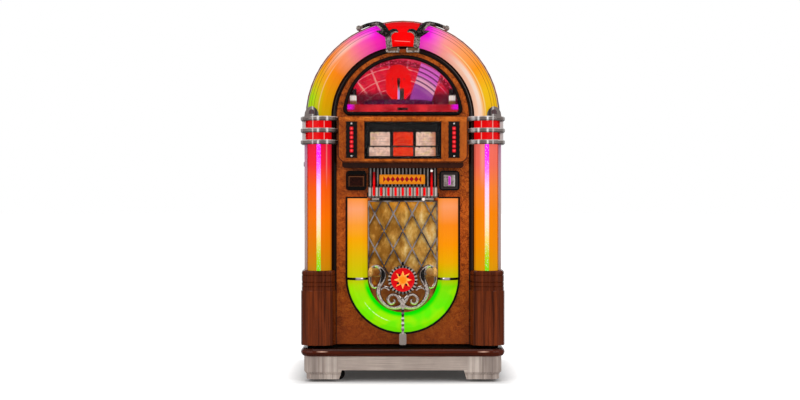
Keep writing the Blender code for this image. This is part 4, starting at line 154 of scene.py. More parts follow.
def effect(name, inputs, outputs):
    """A shader node group with named inputs and outputs, each a name, a kind and a value."""
    tree = bpy.data.node_groups.new(name, "ShaderNodeTree")
    for label, kind, value in inputs:
        socket = tree.interface.new_socket(label, in_out="INPUT", socket_type="NodeSocket" + kind)
        socket.default_value = value
    for label, kind in outputs:
        tree.interface.new_socket(label, in_out="OUTPUT", socket_type="NodeSocket" + kind)
    entry = tree.nodes.new("NodeGroupInput")
    leave = tree.nodes.new("NodeGroupOutput")
    return tree, fields(entry.outputs), leave.inputs


def use(tree, group, **inputs):
    """Places an effect in a material, with its own values."""
    return fields(put(tree, "ShaderNodeGroup", inputs, node_tree=group).outputs)


def new_finish(name, roughness=0.4, metallic=0.0, **plain):
    """A material with one Principled shader, and the values that are the same all over it."""
    material = bpy.data.materials.new(name)
    material.use_nodes = True
    tree = material.node_tree
    inputs = tree.nodes["Principled BSDF"].inputs
    inputs["Roughness"].default_value = roughness
    inputs["Metallic"].default_value = metallic
    inputs["Specular IOR Level"].default_value = 0.08
    for label, value in plain.items():
        inputs[label.replace("_", " ")].default_value = value
    return material, tree, inputs


def feed(inputs, **links):
    """Links fields to the inputs of a shader or of a group's end.

    A Height given as a pair goes through a Bump node of that depth in metres."""
    tree = inputs[0].id_data
    for label, value in links.items():
        if isinstance(value, tuple):
            label = "Normal"
            value = beside("ShaderNodeBump", 0, {"Height": value[0], "Distance": value[1], "Strength": 1.0})
        tree.links.new(value.socket, inputs[label.replace("_", " ")])


def dress(material, *nodes):
    """Gives one material to each of the named solids."""
    for name in nodes:
        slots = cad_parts[name].data.materials
        slots.clear()
        slots.append(material)


def burl_group():
    """Walnut burl: curled figure round small dark eyes, under lacquer."""
    tree, given, out = effect("walnut_burl",
                              [("Dark", "Color", BLACK), ("Middle", "Color", BLACK),
                               ("Light", "Color", BLACK)],
                              [("Color", "Color"), ("Roughness", "Float"), ("Height", "Float")])
    place, x, y, z = spot(tree)
    swirl = beside("ShaderNodeTexNoise", "Color", {"Vector": place, "Scale": 16.0, "Detail": 3.0})
    pushed = beside("ShaderNodeVectorMath", 0, {0: swirl, "Scale": 0.11}, operation="SCALE")
    curled = beside("ShaderNodeVectorMath", 0, {0: place, 1: pushed}, operation="ADD")
    figure = noise(curled, 34.0, 9.0, roughness=0.68, distortion=0.5)
    cells = cells_in(curled, 52.0)
    patches = noise(place, 11.0, 2.0)
    eyes = between(cells, 0.05, 0.26, 1.0, 0.0) * between(patches, 0.44, 0.58)
    pores = noise(curled, 190.0, 3.0)
    wood = ramp(figure, (0.34, BLACK), (0.5, (0.5, 0.5, 0.5, 1)), (0.66, (1, 1, 1, 1)))
    shade = beside("ShaderNodeSeparateColor", "Red", {"Color": wood})
    low = blended(between(shade, 0.0, 0.5), given["Dark"], given["Middle"])
    full = blended(between(shade, 0.5, 1.0), low, given["Light"])
    full = blended(eyes * 0.62, full, given["Dark"])
    full = blended(between(pores, 0.53, 0.64, 0.0, 0.7), full, given["Dark"])
    full = blended(between(pores, 0.47, 0.36, 0.0, 0.6), full, given["Light"])
    smears = noise(place, 5.0, 4.0)
    feed(out, Color=full, Roughness=between(smears, 0.35, 0.7, 0.13, 0.24),
         Height=figure * 0.4 + smears * 0.6)
    return tree


burl = burl_group()

shell_finish, tree, shader = new_finish("burl_shell", Coat_Weight=0.03, Coat_Roughness=0.06)
place, x, y, z = spot(tree)
grain = use(tree, burl, Dark=tone(70, 28, 12), Middle=tone(128, 56, 22), Light=tone(164, 80, 34))
edge = within(y, -0.18, -0.172)
colour = blended(edge, grain["Color"], tone(32, 12, 6))
feed(shader, Base_Color=colour, Roughness=grain["Roughness"], Height=(grain["Height"], 0.0006))
dress(shell_finish, "cabinet")

# Base moulding and pilasters. Solid walnut, turned and run on a spindle moulder, stained nearly
# black-brown and lacquered. The grain runs along the moulding and up the fluted pilasters that
# carry the columns.


def most(first, second):
    """The greater of two values."""
    return sum_of("MAXIMUM", first, second)


def stretched(place, by):
    """A place scaled along each axis, to draw a texture out into streaks."""
    return beside("ShaderNodeVectorMath", 0, {0: place, 1: by}, operation="MULTIPLY")


def outlook(tree):
    """The way that a point of the surface faces, as its X, Y and Z."""
    normal = Field(put(tree, "ShaderNodeNewGeometry").outputs["Normal"])
    return fields(put(tree, "ShaderNodeSeparateXYZ", {"Vector": normal}).outputs)


def straight_group():
    """Straight-grained timber: long streaks and short pores along one direction."""
    tree, given, out = effect("straight_grain",
                              [("Stretch", "Vector", (1, 1, 1)), ("Dark", "Color", BLACK),
                               ("Light", "Color", BLACK)],
                              [("Color", "Color"), ("Roughness", "Float"), ("Height", "Float")])
    place, x, y, z = spot(tree)
    drawn = stretched(place, given["Stretch"])
    streaks = noise(drawn, 1.0, 6.0, roughness=0.6, distortion=0.6)
    pores = noise(drawn, 7.0, 2.0)
    smears = noise(place, 6.0, 3.0)
    wood = blended(between(streaks, 0.32, 0.68), given["Dark"], given["Light"])
    wood = blended(between(pores, 0.58, 0.70, 0.0, 0.5), wood, given["Dark"])
    feed(out, Color=wood, Roughness=between(smears, 0.3, 0.7, 0.16, 0.30),
         Height=streaks * 0.5 + pores * 0.5)
    return tree


straight = straight_group()

moulding_finish, tree, shader = new_finish("moulding_lacquer", Coat_Weight=0.03, Coat_Roughness=0.08)
place, x, y, z = spot(tree)
grain = use(tree, straight, Stretch=(3, 3, 90), Dark=tone(44, 12, 2), Light=tone(92, 30, 6))
across = abs(x)
glints = within(across, 0.320, 0.350, 0.012) * within(z, 0.1270, 0.1310, 0.0010)
colour = blended(glints * 0.8, grain["Color"], tone(250, 200, 176))
# Painted shade: faces that look up are darkened nearly to black, as the shadowed gap under the door.
facing = outlook(tree)
colour = blended(between(facing["Z"], 0.90, 0.97), colour, tone(12, 5, 3))
feed(shader, Base_Color=colour, Roughness=grain["Roughness"], Height=(grain["Height"], 0.0005))
dress(moulding_finish, "base_moulding")

pilaster_finish, tree, shader = new_finish("pilaster_lacquer", Coat_Weight=0.02, Coat_Roughness=0.12)
place, x, y, z = spot(tree)
grain = use(tree, straight, Stretch=(70, 70, 2.6), Dark=tone(66, 24, 8), Light=tone(136, 60, 24))
grooves = within(z, 0.3800, 0.4640)
across = abs(x)
colour = blended(grooves * 0.35, grain["Color"], tone(58, 20, 10))
seams = most(within(across, 0.2990, 0.3030, 0.001), within(across, 0.3360, 0.3385, 0.001))
colour = blended(seams * 0.7, colour, tone(42, 14, 4))
# Painted shade: the pilasters darken towards their outer side.
colour = blended(between(across, 0.385, 0.420, 0.0, 0.55), colour, tone(70, 30, 18))
feed(shader, Base_Color=colour, Roughness=grain["Roughness"], Height=(grain["Height"], 0.0007))
dress(pilaster_finish, "pilaster_left", "pilaster_right")

# Plinth and casters. The plinth is a hollow casting of grey aluminium, brushed along the rails
# and up the posts. Behind it the baseboard carries two swivel casters in front and two fixed
# wheels behind.


def handling_group():
    """What hands and cloths leave on a hard surface: smears, hairlines and dull spots."""
    tree, given, out = effect(
        "handling_marks", [("Smooth", "Float", 0.1), ("Rough", "Float", 0.3)],
        [("Roughness", "Float"), ("Height", "Float"), ("Dulled", "Float")])
    place, x, y, z = spot(tree)
    smears = noise(place, 9.0, 5.0, distortion=1.4)
    drawn = stretched(place, (600.0, 300.0, 35.0))
    lines = noise(drawn, 1.0, 2.0)
    hairs = between(lines, 0.62, 0.74)
    mixed = between(smears, 0.3, 0.7)
    rough = beside("ShaderNodeMix", 0, {0: mixed, 2: given["Smooth"], 3: given["Rough"]})
    feed(out, Roughness=rough + hairs * 0.06, Height=hairs, Dulled=mixed)
    return tree


handled = handling_group()


def dust_group():
    """Dust that settles on what faces up, thicker near the floor."""
    tree, given, out = effect("settled_dust", [("Clean", "Color", BLACK), ("Reach", "Float", 0.3)],
                              [("Color", "Color"), ("Dust", "Float")])
    place, x, y, z = spot(tree)
    upward = outlook(tree)["Z"]
    specks = noise(place, 60.0, 6.0)
    low = 1.0 - between(z / given["Reach"], 0.0, 1.0)
    share = between(upward, 0.3, 1.0) * between(specks, 0.4, 0.7)
    share = share * (low * 0.4 + 0.15)
    feed(out, Color=blended(share, given["Clean"], tone(170, 160, 148)), Dust=share)
    return tree


dusty = dust_group()

plinth_finish, tree, shader = new_finish("cast_plinth", 0.35, 0.55)
place, x, y, z = spot(tree)
post = between(abs(x), 0.268, 0.270)
along = stretched(place, (6.0, 6.0, 700.0))
up = stretched(place, (170.0, 170.0, 4.0))
rail_brush = noise(along, 1.0, 4.0)
post_brush = noise(up, 1.0, 5.0)
brush = beside("ShaderNodeMix", 0, {0: post, 2: rail_brush, 3: post_brush})
cloud = noise(place, 12.0, 6.0)
colour = ramp(brush, (0.30, tone(160, 144, 136)), (0.55, tone(198, 182, 172)), (0.75, tone(224, 212, 202)))
across = abs(x)
# Painted highlights: light vertical bands on the posts. Painted shade: a darker band down each post's side.
reflection_streak = most(within(across, 0.300, 0.318, 0.006), within(across, 0.275, 0.288, 0.005))
post_side_shade = most(within(across, 0.352, 0.385, 0.014), within(across, 0.330, 0.338, 0.005))
colour = blended(reflection_streak * 0.45, colour, tone(236, 224, 214))
colour = blended(post_side_shade * post * 0.55, colour, tone(120, 108, 104))
colour = blended(between(cloud, 0.35, 0.7, 0.0, 0.3), colour, tone(120, 104, 98))
soiled = use(tree, dusty, Clean=colour, Reach=0.10)
feed(shader, Base_Color=soiled["Color"], Roughness=between(brush, 0.3, 0.7, 0.28, 0.46),
     Height=(brush, 0.0004))
dress(plinth_finish, "plinth")

board_finish, tree, shader = new_finish("birch_board", 0.7)
grain = use(tree, straight, Stretch=(4, 80, 80), Dark=tone(60, 40, 24), Light=tone(128, 92, 58))
soiled = use(tree, dusty, Clean=grain["Color"], Reach=0.2)
place, x, y, z = spot(tree)
# Painted shade: the board's front edge under the door is near black, as the shadowed gap there.
front = between(y, -0.245, -0.265) * between(z, 0.1385, 0.1395)
feed(shader, Base_Color=blended(front, soiled["Color"], tone(10, 5, 4)), Height=(grain["Height"], 0.0006))
dress(board_finish, "base_board")

zinc_finish, tree, shader = new_finish("zinc_plate", 0.35, 1.0)
marks = use(tree, handled, Smooth=0.28, Rough=0.5)
place, x, y, z = spot(tree)
spangle = cells_in(place, 130.0, "Color")
bright = beside("ShaderNodeSeparateColor", "Red", {"Color": spangle})
colour = blended(bright, tone(150, 150, 146), tone(186, 186, 178))
feed(shader, Base_Color=colour, Roughness=marks["Roughness"], Height=(marks["Height"], 0.0002))
dress(zinc_finish, "caster_fork_left", "caster_fork_right", "door_hinge")

wheel_finish, tree, shader = new_finish("wheel_rubber", 0.6)
place, x, y, z = spot(tree)
scuffs = noise(place, 90.0, 6.0)
colour = blended(between(scuffs, 0.5, 0.75), tone(24, 22, 21), tone(70, 66, 62))
feed(shader, Base_Color=colour, Roughness=between(scuffs, 0.3, 0.7, 0.45, 0.75), Height=(scuffs, 0.0005))
dress(wheel_finish, "front_wheel_left", "front_wheel_right", "rear_wheel_left", "rear_wheel_right")

# Front door. One veneered board with the arch, the window and the grille cut out of it. A bead
# stained black runs up beside the columns and round the arch; it is glued into a rebate.

ARCH_SPRING = 1.105
U_CENTRE = 0.435
RED_FROM = (0.9915, 0.9925)


def least(first, second):
    """The smaller of two values."""
    return sum_of("MINIMUM", first, second)


def distance(along, up):
    """How far a point lies from where both values are nothing."""
    return sum_of("SQRT", along * along + up * up)


door_finish, tree, shader = new_finish("burl_door", Coat_Weight=0.02, Coat_Roughness=0.05)
place, x, y, z = spot(tree)
grain = use(tree, burl, Dark=tone(96, 38, 8), Middle=tone(176, 80, 20), Light=tone(212, 110, 36))
over = most(z - ARCH_SPRING, 0.0)
away = distance(x, over)
bead = within(away, 0.2783, 0.3012, 0.0002)
# Painted highlight: a grey shine on the black bead, on the right side only.
shine = within(away, 0.2905, 0.2925, 0.001) * between(x, 0.10, 0.20)
front = within(y, -0.30, -0.256)
black = most(bead, 1.0 - front)
# Painted shade: the burl darkens towards the foot of the door, a little on the left, and in a band just
# above the U. Painted light: it is lightened again just above the foot.
lower = between(z, 0.70, 0.25)
shaded = blended(0.5, grain["Color"], tone(98, 38, 8))
wood = blended(lower, grain["Color"], shaded)
wood = blended(between(x, 0.05, -0.05, 0.0, 0.12), wood, tone(90, 32, 8))
wood = blended(within(z, 0.776, 0.802, 0.010) * 0.3, wood, tone(80, 28, 6))
wood = blended(between(z, 0.26, 0.18, 0.0, 0.3), wood, tone(150, 66, 24))
below = least(z - U_CENTRE, 0.0)
u_far = distance(x, below)
across = abs(x)
line = within(u_far, 0.2280, 0.2412) * between(z, 0.7728, 0.7732, 1.0, 0.0)
line = most(line, within(across, 0.1470, 0.2412) * within(z, 0.7640, 0.7728))
hook = within(across, 0.1452, 0.1515, 0.001) * within(z, 0.7640, 0.7900, 0.001)
wood = blended(most(line, hook), wood, tone(16, 6, 4))
nib = within(across, 0.1380, 0.1500, 0.001) * within(z, 0.7570, 0.7690, 0.001)
wood = blended(nib, wood, tone(236, 112, 30))
bead_stain_and_shine = blended(shine * 0.5, tone(20, 10, 7), tone(120, 112, 108))
colour = blended(black, wood, bead_stain_and_shine)
strip = between(across, 0.4004, 0.4008) * between(z, 0.4640, 0.4660)
satin = blended(between(z, 0.75, 0.98), tone(182, 166, 166), tone(196, 152, 186))
satin = blended(between(z, *RED_FROM), satin, tone(226, 0, 8))
satin = blended(between(z, 1.1080, 1.1090), satin, tone(112, 88, 96))
colour = blended(strip, colour, satin)
feed(shader, Base_Color=colour, Roughness=grain["Roughness"], Height=(grain["Height"], 0.0005))
dress(door_finish, "front_door")

# Illuminated arch. Two bent half-round mouldings of opal acrylic, lit from behind by coloured
# lamps: yellow and green at the springing, orange on the shoulder, magenta under the crown. Fine
# ribs run along.


def opal_group():
    """Opal acrylic: moulded hairlines, faint clouding and a soft brightening over the lamp."""
    tree, given, out = effect(
        "opal_acrylic", [("Light", "Color", (1, 1, 1, 1)), ("Ribs", "Float", 0.0)],
        [("Body", "Color"), ("Glow", "Color"), ("Roughness", "Float"), ("Height", "Float")])
    place, x, y, z = spot(tree)
    cloud = noise(place, 7.0, 3.0)
    grit = noise(place, 900.0, 2.0)
    lit = blended(between(cloud, 0.3, 0.7, 0.0, 0.003), given["Light"], (1.0, 0.9, 0.8, 1))
    lined = blended(given["Ribs"] * 0.7, lit, tone(96, 40, 16))
    feed(out, Body=blended(0.72, lined, BLACK),
         Glow=blended(between(grit, 0.3, 0.7, 0.0, 0.06), lined, BLACK),
         Roughness=between(cloud, 0.3, 0.7, 0.14, 0.24), Height=grit * 0.1 - given["Ribs"])
    return tree


opal = opal_group()


def bearing(up, along):
    """The direction of a point, as an angle in radians."""
    return sum_of("ARCTAN2", up, along)


def in_degrees(angle):
    """An angle in degrees."""
    return sum_of("DEGREES", angle)


def round_arch(tree):
    """Angle up from the springing in degrees, and the distance from the arch's centre."""
    place, x, y, z = spot(tree)
    rise = z - ARCH_SPRING
    angle = in_degrees(bearing(rise, abs(x)))
    far = distance(x, rise)
    return angle, far


def arch_ribs(far):
    """Three fine grooves that run along the arch."""
    total = None
    for radius in (0.3735, 0.3860, 0.3960):
        line = within(far, radius - 0.0009, radius + 0.0009, 0.0006)
        total = line if total is None else total + line
    return total


def lit_finish(name, glow=0.72):
    """An opal plastic lit from behind."""
    return new_finish(name, Specular_IOR_Level=0.04, Emission_Strength=glow)


def light_up(tree, shader, colour, ribs=0.0):
    """Feeds a lamp colour through the opal plastic to the shader."""
    plastic = use(tree, opal, Light=colour, Ribs=ribs)
    feed(shader, Base_Color=plastic["Body"], Emission_Color=plastic["Glow"], Roughness=plastic["Roughness"],
         Height=(plastic["Height"], 0.0008))


def rim_and_ear(tree, far):
    """The grey outer edge of the arch, and the part that shows grey through the collar's ear."""
    place, x, y, z = spot(tree)
    outside = between(abs(x), 0.3640, 0.3650)
    ear = outside * between(z, 1.1400, 1.1390)
    return most(between(far, 0.3996, 0.4006), ear)


RIM_GREY = tone(92, 76, 80)

arch_left_finish, tree, shader = lit_finish("arch_light_left")
angle, far = round_arch(tree)
turn = between(angle, 0.0, 80.0)
outer = ramp(turn, (0.0, tone(176, 206, 0)), (0.16, tone(168, 222, 0)), (0.30, tone(235, 180, 0)),
             (0.48, tone(255, 136, 8)), (0.62, tone(255, 150, 110)), (0.78, tone(252, 84, 196)),
             (0.88, tone(250, 16, 238)), (1.0, tone(250, 16, 200)))
inner = ramp(turn, (0.0, tone(206, 166, 0)), (0.20, tone(232, 158, 0)), (0.42, tone(255, 136, 22)),
             (0.58, tone(255, 150, 116)), (0.74, tone(255, 100, 160)), (0.88, tone(252, 44, 178)),
             (1.0, tone(250, 16, 190)))
colour = blended(between(far, 0.335, 0.385), inner, outer)
# Painted highlights: a pale streak across the shoulder and a thin peach line along the lens.
reflection_streak = within(far, 0.362, 0.380, 0.006) * within(angle, 38.0, 62.0, 10.0)
colour = blended(reflection_streak * 0.6, colour, tone(255, 220, 200))
highlight_thread = within(far, 0.3520, 0.3550, 0.0015) * within(angle, 4.0, 40.0, 6.0)
colour = blended(highlight_thread * 0.7, colour, tone(255, 200, 150))
colour = blended(rim_and_ear(tree, far), colour, RIM_GREY)
light_up(tree, shader, colour, arch_ribs(far))
dress(arch_left_finish, "arch_lens_left")

arch_right_finish, tree, shader = lit_finish("arch_light_right")
angle, far = round_arch(tree)
turn = between(angle, 0.0, 80.0)
outer = ramp(turn, (0.0, tone(236, 184, 0)), (0.22, tone(244, 190, 0)), (0.42, tone(255, 154, 18)),
             (0.60, tone(255, 160, 96)), (0.76, tone(255, 150, 150)), (0.90, tone(250, 24, 226)),
             (1.0, tone(250, 14, 214)))
# Painted highlight: the inner half of the lens turns whitish peach.
inner = ramp(turn, (0.0, tone(255, 206, 176)), (0.30, tone(255, 200, 170)), (0.52, tone(255, 196, 168)),
             (0.72, tone(255, 160, 150)), (0.86, tone(252, 96, 186)), (1.0, tone(250, 22, 206)))
colour = blended(between(far, 0.322, 0.352), inner, outer)
# Painted highlights: a white streak and two thin lines, orange and cream, along the lens.
reflection_streak = within(far, 0.316, 0.331, 0.003) * within(angle, 2.0, 44.0, 12.0)
colour = blended(reflection_streak * 0.85, colour, tone(255, 232, 216))
highlight_thread = within(far, 0.3385, 0.3420, 0.001) * within(angle, 4.0, 46.0, 8.0)
colour = blended(highlight_thread * 0.9, colour, tone(255, 150, 10))
highlight_thread = within(far, 0.3435, 0.3470, 0.001) * within(angle, 4.0, 56.0, 8.0)
colour = blended(highlight_thread * 0.75, colour, tone(255, 222, 150))
colour = blended(rim_and_ear(tree, far), colour, RIM_GREY)
light_up(tree, shader, colour, arch_ribs(far))
dress(arch_right_finish, "arch_lens_right")

# Crown. The keystone is red acrylic, and the two claws that hold it are zinc castings, chromed.
# Their colour is a painted reflection: dark where they face forward, light on the outward edges,
# the curls and the tips. Screws from behind hold both.

keystone_finish, tree, shader = lit_finish("keystone_red", 0.8)
place, x, y, z = spot(tree)
colour = ramp(between(z, 1.40, 1.50), (0.0, tone(255, 0, 0)), (0.6, tone(255, 0, 4)),
              (1.0, tone(206, 0, 6)))
far = distance(x, z - ARCH_SPRING)
colour = blended(between(far, 0.4005, 0.4020), colour, tone(40, 6, 6))
slope = z + x * 0.05
glare = within(slope, 1.4220, 1.4235, 0.0006) * within(x, -0.034, 0.030, 0.003)
colour = blended(glare * 0.6, colour, tone(255, 206, 196))
light_up(tree, shader, colour)
dress(keystone_finish, "crown_lens")


def chrome_group():
    """Chromed casting: black wash in its hollows, painted shade underneath, a painted reflection, pits."""
    tree, given, out = effect(
        "chromed_casting", [("Soot", "Float", 0.6), ("Bright", "Color", (0.8, 0.8, 0.8, 1))],
        [("Color", "Color"), ("Roughness", "Float"), ("Height", "Float")])
    place, x, y, z = spot(tree)
    shut_in = put(tree, "ShaderNodeAmbientOcclusion", {"Distance": 0.012}, samples=4, only_local=True)
    hollow = Field(shut_in.outputs["AO"])
    turned = outlook(tree)
    patches = noise(place, 70.0, 4.0)
    # Painted shade: faces that look down are darkened along with the black wash.
    under = between(turned["Z"], -0.15, -0.75)
    wash_and_shade = most(between(hollow, 0.85, 0.45), under * 0.8)
    wash_and_shade = (wash_and_shade + between(patches, 0.5, 0.75, 0.0, 0.25)) * given["Soot"]
    wash_and_shade = least(wash_and_shade, 1.0)
    # Painted reflection: each face is lightened and darkened by the way it turns.
    tilt = turned["Z"] + (patches - 0.5) * 0.16
    mirrored = ramp(between(tilt, -1.0, 1.0), (0.0, tone(24, 20, 18)), (0.30, tone(70, 60, 57)),
                    (0.44, tone(34, 28, 27)), (0.51, tone(116, 106, 102)), (0.57, tone(236, 230, 226)),
                    (0.68, tone(142, 132, 128)), (0.85, tone(232, 226, 222)), (1.0, tone(170, 162, 158)))
    pits = noise(place, 380.0, 3.0)
    shown = blended(0.72, given["Bright"], mirrored)
    feed(out, Color=blended(wash_and_shade, shown, tone(18, 14, 13)),
         Roughness=between(wash_and_shade + pits, 0.4, 1.5, 0.10, 0.34), Height=pits)
    return tree


casting = chrome_group()

claw_finish, tree, shader = new_finish("claw_chrome", 0.2, 0.8)
place, x, y, z = spot(tree)
metal = use(tree, casting, Soot=0.8, Bright=tone(196, 190, 186))
facing = outlook(tree)
outward = facing["X"] * sum_of("SIGN", x)
across = abs(x)
specks = noise(place, 150.0, 4.0)
# Painted reflection: dark where the claws face forward, light on the outward faces, the down-turned curls
# and the tips.
black = blended(between(specks, 0.52, 0.68, 0.0, 0.5), tone(9, 6, 6), tone(104, 92, 86))
rim = between(outward, 0.55, 0.80) * between(across, 0.045, 0.050)
curl = between(facing["Z"], -0.15, -0.45) * between(across, 0.060, 0.055)
rim = most(rim, curl * between(z, 1.430, 1.434))
tip = between(across, 0.166, 0.172)
rim = most(rim, tip * 0.5)
bright = blended(between(specks, 0.40, 0.60), tone(206, 192, 180), tone(120, 108, 100))
colour = blended(rim, black, bright)
foot = between(z, 1.4150, 1.4120)
leg = within(z, 1.4100, 1.4350, 0.003)
pale = blended(between(specks, 0.45, 0.58, 0.0, 0.85), tone(178, 168, 160), tone(52, 42, 38))
colour = blended(leg * 0.75, colour, pale)
sunk = between(y, -0.3008, -0.3002)
bronze = blended(between(z, 1.4000, 1.3940), tone(24, 16, 13), tone(122, 92, 66))
colour = blended(foot, colour, blended(sunk, pale, bronze))
bridge = between(across, 0.0135, 0.0130) * foot
colour = blended(bridge, colour, tone(150, 66, 20))
feed(shader, Base_Color=colour, Roughness=metal["Roughness"], Height=(metal["Height"], 0.0004),
     Metallic=rim * 0.8)
dress(claw_finish, "crown_claws")

# Columns and bubble tubes. Each column is a half-round of opal acrylic over a lamp, with a glass
# tube let into it in which bubbles rise through coloured liquid. The top of the column is red,
# between the rings.

COLUMN_FOOT = 0.464
COLUMN_HEAD = 0.992
COLUMN_LIGHT = {
    "left": ((0.0, tone(206, 138, 4)), (0.16, tone(230, 128, 2)), (0.42, tone(255, 116, 0)),
             (0.66, tone(255, 92, 14)), (0.84, tone(252, 40, 52)), (1.0, tone(248, 14, 62))),
    "right": ((0.0, tone(228, 158, 2)), (0.20, tone(250, 144, 0)), (0.46, tone(255, 136, 4)),
              (0.66, tone(255, 132, 50)), (0.84, tone(252, 112, 88)), (1.0, tone(250, 112, 98)))}
SHEEN = {"left": (0.3160, 0.3205, 0.0015), "right": (0.3240, 0.3420, 0.006)}

for side, stops in COLUMN_LIGHT.items():
    column_finish, tree, shader = lit_finish("column_light_" + side)
    place, x, y, z = spot(tree)
    colour = ramp(between(z, COLUMN_FOOT, COLUMN_HEAD), *stops)
    across = abs(x)
    hem = most(within(across, 0.3003, 0.3050, 0.002), within(across, 0.3960, 0.4007, 0.002))
    colour = blended(hem * 0.35, colour, tone(150, 40, 20))
    sheen = within(across, *SHEEN[side])
    high = between(z, 0.80, 0.90)
    colour = blended(sheen * high * 0.35, colour, tone(255, 186, 176))
    gleam = most(within(across, 0.3735, 0.3770, 0.001), within(across, 0.3265, 0.3290, 0.001))
    enamel = blended(gleam * 0.5, tone(240, 0, 6), tone(255, 226, 216))
    colour = blended(between(z, *RED_FROM), colour, enamel)
    light_up(tree, shader, colour)
    dress(column_finish, "column_lens_" + side)

TUBE_LIGHT = ((0.0, tone(120, 214, 0)), (0.12, tone(176, 214, 24)), (0.24, tone(240, 214, 110)),
              (0.38, tone(255, 222, 190)), (0.66, tone(255, 200, 244)), (0.80, tone(250, 110, 250)),
              (0.90, tone(250, 28, 252)), (1.0, tone(244, 10, 250)))

for side, milky in (("left", 0.45), ("right", 0.60)):
    tube_finish, tree, shader = new_finish("bubble_tube_" + side, 0.05, Coat_Weight=0.4,
                                           Coat_Roughness=0.02, Emission_Strength=0.8)
    place, x, y, z = spot(tree)
    colour = ramp(between(z, COLUMN_FOOT, COLUMN_HEAD), *TUBE_LIGHT)
    flow = stretched(place, (1.0, 1.0, 0.55))
    cells = cells_in(flow, 210.0)
    bubbles = between(cells, 0.16, 0.34, 1.0, 0.0)
    colour = blended(bubbles * milky, colour, tone(255, 244, 255))
    feed(shader, Base_Color=blended(0.6, colour, BLACK), Emission_Color=colour,
         Roughness=between(bubbles, 0.0, 1.0, 0.04, 0.12), Height=(bubbles, 0.0006))
    dress(tube_finish, "bubble_tube_" + side)

# Collars. Three polished bullnose rings clasp the head of each column, with a looped ear on top.
# They are zinc castings, chromed, screwed to the door through their backs.

ring_finish, tree, shader = new_finish("ring_chrome", 0.2, 0.45)
place, x, y, z = spot(tree)
metal = use(tree, casting, Soot=0.35, Bright=tone(156, 144, 140))
across = abs(x)
glint = most(within(across, 0.3490, 0.3560, 0.003), within(across, 0.3110, 0.3180, 0.003))
glint = most(glint, within(across, 0.3730, 0.3775, 0.002) * 0.7)
on_right = between(x, 0.0, 0.01) * between(x, 0.304, 0.292, 0.0, 0.9)
glint = most(glint * between(across, 0.300, 0.305), on_right)
# Painted shade: darker bands on the rings, and towards their outer ends.
dim = within(across, 0.322, 0.343, 0.006)
dim = most(dim, between(across, 0.395, 0.425) * 0.6)
colour = blended(dim * 0.5, metal["Color"], tone(84, 72, 68))
bar = between(across, 0.4080, 0.4090) * between(z, 1.105, 1.100)
tilted = outlook(tree)
flat = between(abs(tilted["Z"]), 0.3, 0.2)
behind = between(y, -0.2750, -0.2710)
colour = blended(glint * 0.85, colour, tone(246, 242, 240))
colour = blended(bar * flat * behind, colour, tone(214, 206, 204))
above = between(z, 1.1095, 1.1105) * between(across, 0.3720, 0.3640)
colour = blended(above * 0.85, colour, tone(18, 14, 16))
feed(shader, Base_Color=colour, Roughness=metal["Roughness"], Height=(metal["Height"], 0.0002))
dress(ring_finish, "collar_left", "collar_right")

# Window. A half-round window over the player: a moulded black frame, glossy, with a pane of clear
# float glass bedded behind it in the board.

frame_finish, tree, shader = new_finish("frame_black", 0.18, Specular_IOR_Level=0.06)
place, x, y, z = spot(tree)
peel = noise(place, 260.0, 2.0)
marks = use(tree, handled, Smooth=0.14, Rough=0.3)
colour = blended(between(peel, 0.35, 0.7), tone(13, 9, 8), tone(26, 20, 18))
feed(shader, Base_Color=colour, Roughness=marks["Roughness"], Height=(peel, 0.0002))
dress(frame_finish, "window_frame")

pane_finish, tree, shader = new_finish("clear_pane", 0.0, 0.0, Transmission_Weight=1.0, IOR=1.45)
place, x, y, z = spot(tree)
marks = use(tree, handled, Smooth=0.0, Rough=0.03)
film = noise(place, 14.0, 5.0, distortion=2.0)
feed(shader, Base_Color=blended(between(film, 0.4, 0.7), tone(255, 255, 255), tone(246, 248, 247)),
     Roughness=marks["Roughness"], Alpha=between(film, 0.45, 0.75, 0.10, 0.15))
dress(pane_finish, "window_glass", "title_glass")

# Backdrop. A screen-printed panel: a fan of pink and cream lines on red, with a violet wedge of
# bars to the right. It glows, painted light for the lamps that light it from in front. It is pinned
# to cleats in the shell.


def zigzag(value, height):
    """A value folded to and fro between nothing and a height."""
    return sum_of("PINGPONG", value, height)


backdrop_finish, tree, shader = new_finish("printed_backdrop", 0.5, Emission_Strength=0.8)
place, x, y, z = spot(tree)
rise = z - 1.075
aside = x + 0.03
angle = in_degrees(bearing(rise, aside))
far = distance(aside, rise)
ray = zigzag(angle, 8.0)
ring = zigzag(far, 0.024)
rays = between(ray * far, 0.12, 0.24, 1.0, 0.0)
rings = between(ring, 0.0012, 0.0028, 1.0, 0.0)
cloud = noise(place, 40.0, 5.0)
ground = blended(between(cloud, 0.35, 0.65), tone(200, 12, 46), tone(242, 26, 58))
lines = blended(between(cloud, 0.4, 0.6), tone(246, 100, 150), tone(250, 190, 170))
full = blended(most(rays, rings) * 0.75, ground, lines)
bar = zigzag(far, 0.0105)
bars = between(bar, 0.0022, 0.0040, 1.0, 0.0)
cream = within(far, 0.235, 0.268, 0.004) * 0.6
violet = blended(bars, blended(cream, tone(222, 104, 206), tone(244, 206, 190)), tone(88, 18, 76))
violet = blended(within(far, 0.03, 0.236, 0.003), violet,
                 blended(cloud, tone(120, 40, 140), tone(180, 80, 176)))
slant = x - (z - 1.2292) * 0.322
wedge = within(slant, 0.035, 0.139, 0.001) * between(far, 0.336, 0.333)
rim = within(far, 0.302, 0.326, 0.003)
spray = cells_in(place, 90.0)
dark_rim = blended(between(spray, 0.25, 0.45), tone(214, 70, 110), tone(96, 4, 24))
full = blended(rim * 0.85, full, dark_rim)
full = blended(between(far, 0.326, 0.332), full, tone(214, 56, 88))
low = between(z, 1.262, 1.240)
